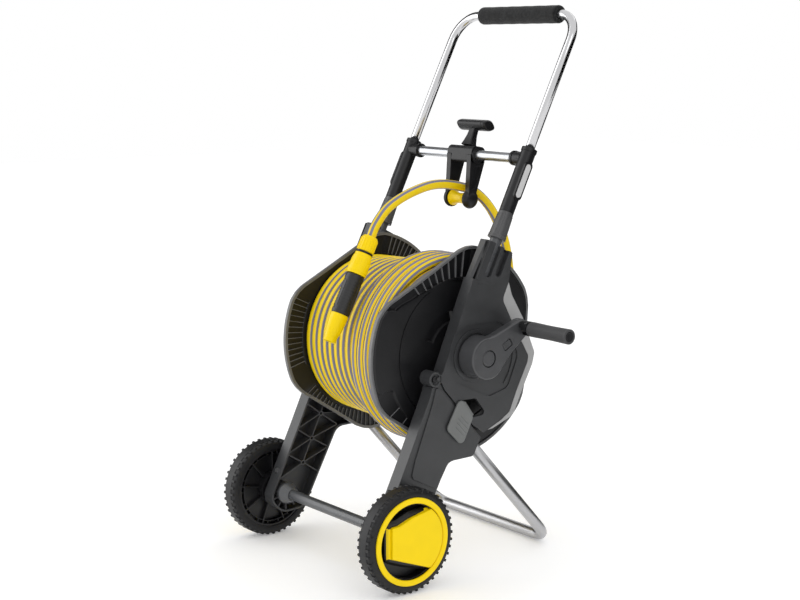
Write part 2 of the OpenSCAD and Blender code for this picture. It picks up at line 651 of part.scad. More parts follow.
place() guide_fork();
place() guide_handle();
place() guide_roller();
place() roller_pin();
place() drum_core();
place() flange(-1);  // flange_left
place() flange(1);  // flange_right
place() drum_shaft();
place() bush(-1);  // bush_left
place() bush(1);  // bush_right
place() hose_winding();
place() crank_arm();
place() crank_cap();
place() crank_button();
place() grip_spindle();
place() grip_pin();
place() crank_grip();
place() grip_cap();
place() inlet_elbow();
place() hose_free();
place() hose_nut();
place() hose_coupling();
place() nozzle_barrel();
place() nozzle_tip();
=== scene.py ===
import bpy
import bmesh
import json
import math
from mathutils import Vector, Matrix


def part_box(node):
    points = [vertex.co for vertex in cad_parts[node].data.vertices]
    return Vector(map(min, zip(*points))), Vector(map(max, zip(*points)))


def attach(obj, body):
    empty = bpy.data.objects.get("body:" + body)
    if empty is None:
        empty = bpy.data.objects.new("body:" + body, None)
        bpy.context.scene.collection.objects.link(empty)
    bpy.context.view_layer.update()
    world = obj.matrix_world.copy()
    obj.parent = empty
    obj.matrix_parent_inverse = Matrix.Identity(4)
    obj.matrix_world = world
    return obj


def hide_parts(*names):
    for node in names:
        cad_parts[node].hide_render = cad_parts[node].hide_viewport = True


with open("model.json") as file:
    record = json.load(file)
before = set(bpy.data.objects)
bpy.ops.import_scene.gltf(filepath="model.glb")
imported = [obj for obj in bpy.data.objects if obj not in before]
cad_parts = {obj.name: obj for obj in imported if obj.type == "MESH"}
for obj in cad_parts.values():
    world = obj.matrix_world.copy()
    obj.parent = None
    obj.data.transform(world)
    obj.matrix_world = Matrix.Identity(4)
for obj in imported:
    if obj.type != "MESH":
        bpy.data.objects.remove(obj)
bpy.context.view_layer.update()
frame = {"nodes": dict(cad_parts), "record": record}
nodes = frame["nodes"]
scene = bpy.context.scene
print("frame loaded")

# ---- places that pieces share -------------------------------------------------
# the cart's own point is the wheel axle line on the middle plane, at floor height, in mm
tyreLeft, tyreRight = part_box("wheel_left_tyre"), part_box("wheel_right_tyre")
middleX = (tyreLeft[0].x + tyreRight[1].x) / 2
axleY = (tyreRight[0].y + tyreRight[1].y) / 2
place = {
    "wheelR": 86, "wheelOut": 217, "tyreIn": 180, "legIn": 142, "legOut": 167, "panelIn": 146,
    "panelOut": 170, "tubeX": 154, "hinge": (83, 329), "drum": (164, 359), "lean": 26.4,
    "handleFoot": (201, 500), "crankAngle": 31, "crankThrow": 85, "armIn": 191, "armOut": 207,
    "gripX": 220, "flangeIn": 118, "flangeOut": 125, "crossS": 194, "roller": (276, 598),
}


def at(x, y, z):
    """mm from the cart's own point to metres in the frame"""
    return Vector((middleX + x / 1000, axleY + y / 1000, z / 1000))


leanRad = math.radians(place["lean"])


def onHandle(x, t, s):
    # t runs square to the leaning tubes, s runs up them
    y0, z0 = place["handleFoot"]
    return at(x, y0 + s * math.sin(leanRad) + t * math.cos(leanRad),
              z0 + s * math.cos(leanRad) - t * math.sin(leanRad))


barS = (1000 * (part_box("foam_grip")[0].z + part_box("foam_grip")[1].z) / 2 - 500) / math.cos(leanRad)
crossY = place["handleFoot"][0] + place["crossS"] * math.sin(leanRad)
crossZ = place["handleFoot"][1] + place["crossS"] * math.cos(leanRad)


def onCrank(x, u, v):
    # u runs out along the crank arm, v square to it
    a = math.radians(place["crankAngle"])
    y0, z0 = place["drum"]
    return at(x, y0 + u * math.cos(a) - v * math.sin(a), z0 + u * math.sin(a) + v * math.cos(a))


# ---- camera ---------------------------------------------------------------------
def makeCamera():
    view = {"yaw": 52.08, "pitch": 9.11, "lens": 70.78, "stand": (2087.2, -1483.8, 855.9)}
    a, e = math.radians(view["yaw"]), math.radians(view["pitch"])
    back = Vector((math.sin(a) * math.cos(e), -math.cos(a) * math.cos(e), math.sin(e)))
    data = bpy.data.cameras.new("camera")
    data.lens = view["lens"]
    data.sensor_width = 36
    camera = bpy.data.objects.new("camera", data)
    camera.location = at(*view["stand"])
    camera.rotation_mode = "QUATERNION"
    camera.rotation_quaternion = (-back).to_track_quat("-Z", "Y")
    scene.collection.objects.link(camera)
    scene.camera = camera


makeCamera()
print("camera made")


# ---- materials --------------------------------------------------------------------
def shaderOf(name):
    material = bpy.data.materials.new(name)
    material.use_nodes = True
    tree = material.node_tree
    return material, tree, tree.nodes["Principled BSDF"]


def grain(tree, shader, scale, strength, distance=0.0004, detail=3.0, stretch=(1, 1, 1)):
    # a fine moulded or sanded grain as bump, in object space
    coords = tree.nodes.new("ShaderNodeTexCoord")
    mapping = tree.nodes.new("ShaderNodeMapping")
    mapping.inputs["Scale"].default_value = stretch
    noise = tree.nodes.new("ShaderNodeTexNoise")
    noise.inputs["Scale"].default_value = scale
    noise.inputs["Detail"].default_value = detail
    bump = tree.nodes.new("ShaderNodeBump")
    bump.inputs["Strength"].default_value = strength
    bump.inputs["Distance"].default_value = distance
    tree.links.new(coords.outputs["Object"], mapping.inputs["Vector"])
    tree.links.new(mapping.outputs["Vector"], noise.inputs["Vector"])
    tree.links.new(noise.outputs["Fac"], bump.inputs["Height"])
    tree.links.new(bump.outputs["Normal"], shader.inputs["Normal"])
    return mapping


def mottle(tree, shader, mapping, dark, light, scale, rough):
    # slow changes of colour and gloss over a moulded surface
    noise = tree.nodes.new("ShaderNodeTexNoise")
    noise.inputs["Scale"].default_value = scale
    noise.inputs["Detail"].default_value = 4
    tree.links.new(mapping.outputs["Vector"], noise.inputs["Vector"])
    ramp = tree.nodes.new("ShaderNodeValToRGB")
    ramp.color_ramp.elements[0].position = 0.3
    ramp.color_ramp.elements[0].color = (*dark, 1)
    ramp.color_ramp.elements[1].position = 0.7
    ramp.color_ramp.elements[1].color = (*light, 1)
    tree.links.new(noise.outputs["Fac"], ramp.inputs["Fac"])
    tree.links.new(ramp.outputs["Color"], shader.inputs["Base Color"])
    spread = tree.nodes.new("ShaderNodeMapRange")
    spread.inputs["To Min"].default_value = rough[0]
    spread.inputs["To Max"].default_value = rough[1]
    tree.links.new(noise.outputs["Fac"], spread.inputs["Value"])
    tree.links.new(spread.outputs["Result"], shader.inputs["Roughness"])


def plastic(name, colour, rough=(0.38, 0.5), grainScale=1400, grainStrength=0.25, coat=0.0, tone=0.12, shine=0.5):
    material, tree, shader = shaderOf(name)
    mapping = grain(tree, shader, grainScale, grainStrength)
    dark = [c * (1 - tone) for c in colour]
    light = [c * (1 + tone) for c in colour]
    mottle(tree, shader, mapping, dark, light, 28, rough)
    shader.inputs["Coat Weight"].default_value = coat
    shader.inputs["Specular IOR Level"].default_value = shine
    shader.inputs["Coat Roughness"].default_value = 0.25
    return material


def metal(name, colour, rough, brush=(1, 1, 1), scale=500, strength=0.08, tone=0.04):
    material, tree, shader = shaderOf(name)
    mapping = grain(tree, shader, scale, strength, distance=0.0002, stretch=brush)
    mottle(tree, shader, mapping, [c * (1 - tone) for c in colour], colour, 14, rough)
    shader.inputs["Metallic"].default_value = 1.0
    return material


def makeMaterials():
    made = {
        "frame_plastic": plastic("framePlastic", (0.033, 0.034, 0.036), (0.34, 0.44)),
        "black_plastic": plastic("blackPlastic", (0.008, 0.008, 0.009), (0.3, 0.4), shine=0.35),
        "inner_plastic": plastic("innerPlastic", (0.004, 0.004, 0.005), (0.32, 0.46)),
        "grey_plastic": plastic("latchPlastic", (0.135, 0.14, 0.138), (0.36, 0.46)),
        "rib_plastic": plastic("ribPlastic", (0.045, 0.045, 0.048), (0.3, 0.42)),
        # painted highlight: the flange ribs are a lighter grey that stands in for gloss along their thin edges
        "rib_painted_highlight": plastic("ribPaintedHighlight", (0.13, 0.13, 0.134), (0.3, 0.42)),
        "rim_plastic": plastic("rimPlastic", (0.13, 0.13, 0.132), (0.34, 0.44)),
        "crank_plastic": plastic("crankPlastic", (0.05, 0.051, 0.054), (0.26, 0.34), 1400, 0.15),
        "barrel_plastic": plastic("barrelPlastic", (0.01, 0.01, 0.011), (0.36, 0.5), 1100, 0.3),
        "button_plastic": plastic("buttonPlastic", (0.5, 0.5, 0.5), (0.3, 0.4), tone=0.05),
        "light_grey_plastic": plastic("trimPlastic", (0.31, 0.31, 0.31), (0.34, 0.44), tone=0.05),
        "yellow_plastic": plastic("yellowPlastic", (0.88, 0.63, 0.0), (0.3, 0.4), 900, 0.08, 0.0, 0.03, 0.2),
        "collar_plastic": plastic("collarPlastic", (0.06, 0.06, 0.062), (0.3, 0.42)),
        "bearing_plastic": plastic("bearingPlastic", (0.6, 0.6, 0.56), tone=0.04),
        "tyre_rubber": plastic("tyreRubber", (0.009, 0.009, 0.01), (0.42, 0.56), 700, 0.5, shine=0.35),
        "rubber": plastic("gripRubber", (0.05, 0.05, 0.052), (0.5, 0.62), 900, 0.5),
        "foam": foamMaterial(),
        "tube_aluminium": metal("handleChrome", (0.6, 0.6, 0.61), (0.16, 0.22), (1, 1, 1), 260, 0.03),
        "stand_steel": metal("standZinc", (0.5, 0.5, 0.51), (0.3, 0.4), (1, 1, 1), 400, 0.1),
        "axle_paint": plastic("axlePaint", (0.07, 0.073, 0.078), (0.22, 0.34), 1200, 0.15, 0.2),
        "crossbar_aluminium": metal("crossbarAluminium", (0.48, 0.49, 0.51), (0.25, 0.34)),
        "steel": metal("platedSteel", (0.55, 0.55, 0.56), (0.22, 0.36)),
        "hose": hoseMaterial(),
    }
    return made


def foamMaterial():
    # closed-cell foam: pores as bump with a soft sheen
    material, tree, shader = shaderOf("handleFoam")
    coords = tree.nodes.new("ShaderNodeTexCoord")
    cells = tree.nodes.new("ShaderNodeTexVoronoi")
    cells.inputs["Scale"].default_value = 620
    noise = tree.nodes.new("ShaderNodeTexNoise")
    noise.inputs["Scale"].default_value = 240
    noise.inputs["Detail"].default_value = 6
    ramp = tree.nodes.new("ShaderNodeValToRGB")
    ramp.color_ramp.elements[0].position = 0.35
    ramp.color_ramp.elements[0].color = (0.004, 0.004, 0.0045, 1)
    ramp.color_ramp.elements[1].position = 0.75
    ramp.color_ramp.elements[1].color = (0.017, 0.0175, 0.018, 1)
    bump = tree.nodes.new("ShaderNodeBump")
    bump.inputs["Strength"].default_value = 0.55
    bump.inputs["Distance"].default_value = 0.0007
    both = tree.nodes.new("ShaderNodeMath")
    both.operation = "ADD"
    for texture in (cells, noise):
        tree.links.new(coords.outputs["Object"], texture.inputs["Vector"])
    tree.links.new(cells.outputs["Distance"], both.inputs[0])
    tree.links.new(noise.outputs["Fac"], both.inputs[1])
    tree.links.new(both.outputs["Value"], bump.inputs["Height"])
    tree.links.new(bump.outputs["Normal"], shader.inputs["Normal"])
    tree.links.new(noise.outputs["Fac"], ramp.inputs["Fac"])
    tree.links.new(ramp.outputs["Color"], shader.inputs["Base Color"])
    shader.inputs["Roughness"].default_value = 0.82
    shader.inputs["Specular IOR Level"].default_value = 0.25
    shader.inputs["Sheen Weight"].default_value = 0.1
    shader.inputs["Sheen Roughness"].default_value = 0.5
    return material


def hoseMaterial():
    # the hose's UV runs round it in U (0..1) and along it in V (metres)
    look = {"yellow": (0.84, 0.6, 0.0), "stripe": (0.19, 0.19, 0.27), "edge": 0.035}
    material, tree, shader = shaderOf("hoseSkin")
    uv = tree.nodes.new("ShaderNodeUVMap")
    uv.uv_map = "round"
    split = tree.nodes.new("ShaderNodeSeparateXYZ")
    tree.links.new(uv.outputs["UV"], split.inputs["Vector"])
    wave = tree.nodes.new("ShaderNodeMath")
    wave.operation = "MULTIPLY"
    wave.inputs[1].default_value = 2.0
    tree.links.new(split.outputs["X"], wave.inputs[0])
    part = tree.nodes.new("ShaderNodeMath")
    part.operation = "FRACT"
    tree.links.new(wave.outputs["Value"], part.inputs[0])
    ramp = tree.nodes.new("ShaderNodeValToRGB")
    stops = ramp.color_ramp.elements
    stops[0].position, stops[0].color = 0.0, (*look["yellow"], 1)
    stops[1].position, stops[1].color = 0.46, (*look["yellow"], 1)
    for position, colour in ((0.475, "stripe"), (0.645, "stripe"), (0.66, "yellow"), (0.79, "yellow"),
                             (0.805, "stripe"), (0.975, "stripe"), (0.99, "yellow")):
        stop = stops.new(position)
        stop.color = (*look[colour], 1)
    tree.links.new(part.outputs["Value"], ramp.inputs["Fac"])
    tree.links.new(ramp.outputs["Color"], shader.inputs["Base Color"])
    coords = tree.nodes.new("ShaderNodeTexCoord")
    noise = tree.nodes.new("ShaderNodeTexNoise")
    noise.inputs["Scale"].default_value = 60
    noise.inputs["Detail"].default_value = 4
    tree.links.new(coords.outputs["Object"], noise.inputs["Vector"])
    bump = tree.nodes.new("ShaderNodeBump")
    bump.inputs["Strength"].default_value = 0.12
    bump.inputs["Distance"].default_value = 0.0006
    shader.inputs["Specular IOR Level"].default_value = 0.3
    tree.links.new(noise.outputs["Fac"], bump.inputs["Height"])
    tree.links.new(bump.outputs["Normal"], shader.inputs["Normal"])
    gloss = tree.nodes.new("ShaderNodeMapRange")
    gloss.inputs["To Min"].default_value = 0.3
    gloss.inputs["To Max"].default_value = 0.44
    tree.links.new(noise.outputs["Fac"], gloss.inputs["Value"])
    tree.links.new(gloss.outputs["Result"], shader.inputs["Roughness"])
    return material


materials = makeMaterials()
for entry in frame["record"]["subparts"]:
    cadNode = nodes[entry["node"]]
    cadNode.data.materials.clear()
    cadNode.data.materials.append(materials[entry["material_slot"]])
nodes["hinge_pins"].data.materials[0] = materials["inner_plastic"]
print("materials made")


# ---- mesh tools ---------------------------------------------------------------------
def addPiece(name, mesh, material, body, stands=()):
    piece = bpy.data.objects.new(name, mesh)
    scene.collection.objects.link(piece)
    mesh.materials.clear()
    mesh.materials.append(materials[material])
    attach(piece, body)
    if stands:
        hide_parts(*stands)
    return piece


def mirrored(side, where=at):
    # the same place on the left side when side is -1
    return lambda x, u, v: where(side * x, u, v)


def rounded(points, steps=5):
    # corners of [u, v, radius] become arcs
    out = []
    for i, p in enumerate(points):
        a, b = points[i - 1], points[(i + 1) % len(points)]
        c = Vector(p[:2])
        u, v = (Vector(a[:2]) - c).normalized(), (Vector(b[:2]) - c).normalized()
        half = math.acos(max(-1, min(1, u.dot(v)))) / 2
        if half > 1.55:
            out.append(tuple(c))
            continue
        r = p[2]
        middle = c + (u + v).normalized() * r / math.sin(half)
        start, end = c + u * r / math.tan(half) - middle, c + v * r / math.tan(half) - middle
        a0 = math.atan2(start.y, start.x)
        sweep = (math.atan2(end.y, end.x) - a0 + math.pi) % (2 * math.pi) - math.pi
        for k in range(steps + 1):
            t = a0 + sweep * k / steps
            out.append((middle.x + r * math.cos(t), middle.y + r * math.sin(t)))
    return out


def inset(points, d):
    # the outline moved inwards by d, or outwards when d is negative
    turns = sum(points[i - 1][0] * p[1] - p[0] * points[i - 1][1] for i, p in enumerate(points))
    way = 1 if turns > 0 else -1
    out = []
    for i, p in enumerate(points):
        a, b = Vector(points[i - 1][:2]), Vector(points[(i + 1) % len(points)][:2])
        c = Vector(p[:2])
        e1, e2 = (c - a).normalized(), (b - c).normalized()
        n1, n2 = way * Vector((-e1.y, e1.x)), way * Vector((-e2.y, e2.x))
        q = c + d * (n1 + n2) / (1 + n1.dot(n2))
        out.append((q.x, q.y, max(0.4, p[2] - d)))
    return out


def disc(u, v, r, n=48):
    return [(u + r * math.cos(2 * math.pi * k / n), v + r * math.sin(2 * math.pi * k / n)) for k in range(n)]


def plate(outline, x0, x1, where=at):
    # a closed prism across the cart from x0 to x1
    bm = bmesh.new()
    low = [bm.verts.new(where(x0, u, v)) for u, v in outline]
    high = [bm.verts.new(where(x1, u, v)) for u, v in outline]
    bm.faces.new(low)
    bm.faces.new(list(reversed(high)))
    for i in range(len(low)):
        bm.faces.new((low[i - 1], low[i], high[i], high[i - 1]))
    bmesh.ops.recalc_face_normals(bm, faces=bm.faces)
    return bm


def turned(profile, base, axis, n=64):
    # a closed turned solid: profile of (radius, distance along the axis), both in mm
    axis = axis.normalized()
    side = axis.orthogonal().normalized()
    other = axis.cross(side)
    bm = bmesh.new()
    rings = []
    for r, d in profile:
        centre = base + axis * d / 1000
        if r < 0.001:
            rings.append([bm.verts.new(centre)])
            continue
        ring = []
        for k in range(n):
            a = 2 * math.pi * k / n
            ring.append(bm.verts.new(centre + r / 1000 * (math.cos(a) * side + math.sin(a) * other)))
        rings.append(ring)
    pairs = list(zip(rings, rings[1:] + rings[:1]))
    for first, second in pairs:
        if len(first) == 1 and len(second) == 1:
            continue
        for k in range(n):
            m = (k + 1) % n
            if len(first) == 1:
                bm.faces.new((first[0], second[m], second[k]))
            elif len(second) == 1:
                bm.faces.new((first[k], first[m], second[0]))
            else:
                bm.faces.new((first[k], first[m], second[m], second[k]))
    bmesh.ops.recalc_face_normals(bm, faces=bm.faces)
    return bm


def solidRod(r, x0, x1, u, v, where=at, n=48):
    start, end = where(x0, u, v), where(x1, u, v)
    length = (end - start).length * 1000
    return turned([(0, 0), (r, 0), (r, length), (0, length)], start, end - start, n)


def ringRod(r0, r1, x0, x1, u, v, where=at, n=64):
    start, end = where(x0, u, v), where(x1, u, v)
    length = (end - start).length * 1000
    return turned([(r0, 0), (r1, 0), (r1, length), (r0, length)], start, end - start, n)


def ribBar(p, q, width, x0, x1, where=at):
    d = (Vector(q) - Vector(p)).normalized()
    n = Vector((-d.y, d.x)) * width / 2
    a, b = Vector(p), Vector(q)
    return plate([tuple(a + n), tuple(b + n), tuple(b - n), tuple(a - n)], x0, x1, where)


def copyNode(name):
    bm = bmesh.new()
    bm.from_mesh(nodes[name].data)
    bmesh.ops.remove_doubles(bm, verts=bm.verts, dist=1e-6)
    bmesh.ops.dissolve_limit(bm, angle_limit=0.008, verts=bm.verts, edges=bm.edges)
    return bm


def looseObject(bm):
    mesh = bpy.data.meshes.new("work")
    bm.to_mesh(mesh)
    bm.free()
    thing = bpy.data.objects.new("work", mesh)
    scene.collection.objects.link(thing)
    return thing


def dropObject(thing):
    mesh = thing.data
    bpy.data.objects.remove(thing)
    bpy.data.meshes.remove(mesh)


def evaluated(thing, name):
    bpy.context.view_layer.update()
    graph = bpy.context.evaluated_depsgraph_get()
    return bpy.data.meshes.new_from_object(thing.evaluated_get(graph), depsgraph=graph).copy()


def shaped(name, solids, cuts=(), bevel=0.8, steps=2, angle=32, smooth=38, clamp=True, merge=0.002):
    # every solid minus every cut, then one rounding over all edges sharper than the angle
    cutters = [looseObject(c) for c in cuts]
    whole = bmesh.new()
    for bm in solids:
        part = looseObject(bm)
        for cutter in cutters:
            change = part.modifiers.new("cut", "BOOLEAN")
            change.operation = "DIFFERENCE"
            change.solver = "EXACT"
            change.object = cutter
        mesh = evaluated(part, "cutWork")
        whole.from_mesh(mesh)
        bpy.data.meshes.remove(mesh)
        dropObject(part)
    for cutter in cutters:
        dropObject(cutter)
    bmesh.ops.remove_doubles(whole, verts=whole.verts, dist=merge / 1000)
    bmesh.ops.dissolve_limit(whole, angle_limit=0.006, verts=whole.verts, edges=whole.edges)
    part = looseObject(whole)
    if bevel:
        soften = part.modifiers.new("soften", "BEVEL")
        soften.width = bevel / 1000
        soften.segments = steps
        soften.limit_method = "ANGLE"
        soften.angle_limit = math.radians(angle)
        soften.use_clamp_overlap = clamp
        soften.miter_outer = "MITER_ARC"
    mesh = evaluated(part, name)
    dropObject(part)
    mesh.name = name
    smoothEdges(mesh, smooth)
    return mesh


def smoothEdges(mesh, angle=38):
    bm = bmesh.new()
    bm.from_mesh(mesh)
    for face in bm.faces:
        face.smooth = True
    for edge in bm.edges:
        edge.smooth = len(edge.link_faces) == 2 and edge.calc_face_angle(0) < math.radians(angle)
    bm.to_mesh(mesh)
    bm.free()
    thing = bpy.data.objects.new("work", mesh)
    scene.collection.objects.link(thing)
    weigh = thing.modifiers.new("weigh", "WEIGHTED_NORMAL")
    weigh.keep_sharp = True
    even = evaluated(thing, "work")
    bm = bmesh.new()
    bm.from_mesh(even)
    bpy.data.objects.remove(thing)
    bm.to_mesh(mesh)
    bm.free()
    mesh.normals_split_custom_set([n.vector for n in even.corner_normals])
    bpy.data.meshes.remove(even)


def joined(name, *meshes):
    whole = bmesh.new()
    for mesh in meshes:
        whole.from_mesh(mesh)
    out = bpy.data.meshes.new(name)
    whole.to_mesh(out)
    whole.free()
    return out


# Geometry Nodes: copies of the object's own mesh, turned in steps round an axis
def ringTree():
    tree = bpy.data.node_groups.new("ringOfCopies", "GeometryNodeTree")
    face = tree.interface
    face.new_socket("Geometry", in_out="INPUT", socket_type="NodeSocketGeometry")
    face.new_socket("Count", in_out="INPUT", socket_type="NodeSocketInt")
    face.new_socket("Step", in_out="INPUT", socket_type="NodeSocketFloat")
    face.new_socket("Start", in_out="INPUT", socket_type="NodeSocketFloat")
    face.new_socket("Centre", in_out="INPUT", socket_type="NodeSocketVector")
    face.new_socket("Axis", in_out="INPUT", socket_type="NodeSocketVector")
    face.new_socket("Material", in_out="INPUT", socket_type="NodeSocketMaterial")
    face.new_socket("Geometry", in_out="OUTPUT", socket_type="NodeSocketGeometry")
    new, link = tree.nodes.new, tree.links.new
    start, end = new("NodeGroupInput"), new("NodeGroupOutput")
    back = new("ShaderNodeVectorMath")
    back.operation = "SCALE"
    back.inputs["Scale"].default_value = -1
    home = new("GeometryNodeTransform")
    spots = new("GeometryNodePoints")
    index = new("GeometryNodeInputIndex")
    angle = new("ShaderNodeMath")
    angle.operation = "MULTIPLY_ADD"
    spin = new("FunctionNodeAxisAngleToRotation")
    copies = new("GeometryNodeInstanceOnPoints")
    real = new("GeometryNodeRealizeInstances")
    place2 = new("GeometryNodeTransform")
    paint = new("GeometryNodeSetMaterial")
    link(start.outputs["Centre"], back.inputs[0])
    link(start.outputs["Geometry"], home.inputs["Geometry"])
    link(back.outputs["Vector"], home.inputs["Translation"])
    link(start.outputs["Count"], spots.inputs["Count"])
    link(index.outputs["Index"], angle.inputs[0])
    link(start.outputs["Step"], angle.inputs[1])
    link(start.outputs["Start"], angle.inputs[2])
    link(start.outputs["Axis"], spin.inputs["Axis"])
    link(angle.outputs["Value"], spin.inputs["Angle"])
    link(spots.outputs["Points"], copies.inputs["Points"])
    link(home.outputs["Geometry"], copies.inputs["Instance"])
    link(spin.outputs["Rotation"], copies.inputs["Rotation"])
    link(copies.outputs["Instances"], real.inputs["Geometry"])
    link(real.outputs["Geometry"], place2.inputs["Geometry"])
    link(start.outputs["Centre"], place2.inputs["Translation"])
    link(place2.outputs["Geometry"], paint.inputs["Geometry"])
    link(start.outputs["Material"], paint.inputs["Material"])
    link(paint.outputs["Geometry"], end.inputs["Geometry"])
    return tree


ringNodes = ringTree()


def ringOf(name, mesh, material, count, centre, axis, step=None, start=0.0):
    thing = bpy.data.objects.new("work", mesh)
    scene.collection.objects.link(thing)
    change = thing.modifiers.new("ring", "NODES")
    change.node_group = ringNodes
    values = {
        "Count": count, "Step": math.radians(step if step else 360 / count), "Start": math.radians(start),
        "Centre": centre, "Axis": axis, "Material": materials[material],
    }
    for item in ringNodes.interface.items_tree:
        if item.in_out == "INPUT" and item.name in values:
            change[item.identifier] = values[item.name]
    out = evaluated(thing, name)
    out.name = name
    bpy.data.objects.remove(thing)
    bpy.data.meshes.remove(mesh)
    return out


acrossX = Vector((1, 0, 0))


# ---- hose -------------------------------------------------------------------------------
hose = {"r": 8.25, "sides": 20, "stripes": 3, "cartLayers": 3}


def tubeMesh(name, points, radius, sides, twist=0.0, tipCaps=True, startAngle=0.0, up=Vector((1, 0, 0))):
    # a swept tube whose rings keep an even turn, with a UV round and along it
    bm = bmesh.new()
    layer = bm.loops.layers.uv.new("round")
    rings, along = [], [0.0]
    for i, p in enumerate(points):
        a, b = points[max(i - 1, 0)], points[min(i + 1, len(points) - 1)]
        t = (b - a).normalized()
        if i:
            along.append(along[-1] + (p - points[i - 1]).length)
        u = (up - t * up.dot(t)).normalized()
        v = t.cross(u)
        turn = startAngle + twist * along[-1]
        ring = []
        for k in range(sides):
            angle = 2 * math.pi * k / sides + turn
            ring.append(bm.verts.new(p + radius * (math.cos(angle) * u + math.sin(angle) * v)))
        rings.append(ring)
    for i in range(len(rings) - 1):
        for k in range(sides):
            n = (k + 1) % sides
            face = bm.faces.new((rings[i][k], rings[i][n], rings[i + 1][n], rings[i + 1][k]))
            face.smooth = True
            spots = ((k, i), (k + 1, i), (k + 1, i + 1), (k, i + 1))
            for loop, (around, step) in zip(face.loops, spots):
                loop[layer].uv = (around / sides, along[step])
    if tipCaps:
        bm.faces.new(list(reversed(rings[0])))
        bm.faces.new(rings[-1])
    bmesh.ops.recalc_face_normals(bm, faces=bm.faces)
    mesh = bpy.data.meshes.new(name)
    bm.to_mesh(mesh)
    bm.free()
    return mesh, along[-1]


def smoothRoute(points, step):
    # Catmull-Rom through the given points, sampled evenly
    out = []
    for i in range(len(points) - 1):
        p0 = points[i - 1] if i else points[0] * 2 - points[1]
        p1, p2 = points[i], points[i + 1]
        p3 = points[i + 2] if i + 2 < len(points) else p2 * 2 - p1
        count = max(1, round((p2 - p1).length / step))
        for k in range(count):
            t = k / count
            out.append(0.5 * ((2 * p1) + (p2 - p0) * t + (2 * p0 - 5 * p1 + 4 * p2 - p3) * t * t
                              + (3 * p1 - p0 - 3 * p2 + p3) * t ** 3))
    out.append(points[-1])
    return out


freeRoute = [
    (63, 312.5, 273.2), (63, 325.5, 300.3), (63, 333, 329), (63, 335.8, 359), (63.5, 336.3, 390),
    (65, 335.5, 430), (63, 333.5, 474), (56, 332, 513), (44, 329.5, 545), (27, 323.5, 576.5),
    (13, 311.5, 599), (4, 296, 612), (1, 276, 617.8), (1, 262, 620.8), (1, 234, 624.5),
    (3, 205, 624), (7, 172, 618), (13, 134, 607), (20, 98, 591), (27, 70, 567), (30, 58, 549),
]


def windingPoint(x, radius, angle):
    y0, z0 = place["drum"]
    return at(x, y0 + radius * math.cos(angle), z0 + radius * math.sin(angle))


def windingRoute():
    # three layers on the core; each turn steps over to its neighbour along a short stretch
    layers = [
        {"turns": 13, "from": 109, "to": -109, "rFrom": 114.0, "rTo": 114.0},
        {"turns": 14, "from": -109.5, "to": 109.5, "rFrom": 130.2, "rTo": 137.5},
        {"turns": 4, "from": 101.5, "to": 52, "rFrom": 153.6, "rTo": 153.8},
    ]
    steps = 72
    points = []
    for number, layer in enumerate(layers):
        for turn in range(layer["turns"]):
            share = turn / max(layer["turns"] - 1, 1)
            after = min(turn + 1, layer["turns"] - 1) / max(layer["turns"] - 1, 1)
            last = turn == layer["turns"] - 1
            for k in range(steps):
                t = k / steps
                # crossing happens on the last sixth of a turn, behind the drum
                cross = min(max((t - 0.84) / 0.16, 0), 1)
                cross = cross * cross * (3 - 2 * cross)
                s = share + (after - share) * cross
                x = layer["from"] + (layer["to"] - layer["from"]) * s
                r = layer["rFrom"] + (layer["rTo"] - layer["rFrom"]) * s
                if last and number + 1 < len(layers):
                    x += (layers[number + 1]["from"] - x) * cross
                    r += (layers[number + 1]["rFrom"] - r) * cross
                wobble = 0.5 * math.sin(3.1 * turn + 5 * t)
                angle = 2 * math.pi * t + math.radians(-70)
                points.append(windingPoint(x + wobble * (1 - cross), r, angle))
    # the last strand climbs onto the layer below it and meets the free end
    climb = {"x": (52, 63), "r": (153.8, 170.7), "sweep": 40, "steps": 24}
    for k in range(climb["steps"] + 1):
        t = k / climb["steps"]
        ease = t * t * (3 - 2 * t)
        x = climb["x"][0] + (climb["x"][1] - climb["x"][0]) * ease
        r = climb["r"][0] + (climb["r"][1] - climb["r"][0]) * ease
        points.append(windingPoint(x, r, math.radians(-70 + climb["sweep"] * t)))
    return points


def makeHose():
    path = windingRoute()
    mesh, length = tubeMesh("hoseTurns", path, hose["r"] / 1000 * 0.95, hose["sides"], twist=0.05, startAngle=0.45)
    turns = addPiece("hoseTurns", mesh, "hose", "drum", ("hose_winding",))
    print("winding length", round(length, 2))
    route = [at(*p) for p in freeRoute]
    smooth = smoothRoute(route, 0.008)
    # the hose runs on inside its nut and coupling
    for d in (12, 24, 36, 48, 60):
        smooth.append(route[-1] + Vector((0, -0.46, -0.888)) * d / 1000)
    mesh, length = tubeMesh("hoseEnd", smooth, hose["r"] / 1000, 24, twist=0.1, startAngle=2.2)
    free = addPiece("hoseEnd", mesh, "hose", "guide_carriage", ("hose_free",))
    print("free length", round(length, 3))
    return free, smooth, length


freeHose, freePath, freeLength = makeHose()
print("hose made")


# ---- wheels -----------------------------------------------------------------------------
wheel = {
    "hubR": 14, "rimR": 70, "spokes": 9, "lugs": 44, "pads": 12, "treadR": 86, "ringR": (62, 71.5),
    "cover": [(70, 60, 1), (40, 50, 3), (-1, 40, 3), (-25, 31, 4), (-41, 30, 3), (-41, -21, 3), (-15, -31, 3),
              (36, -50, 3), (70, -60, 1)],
}


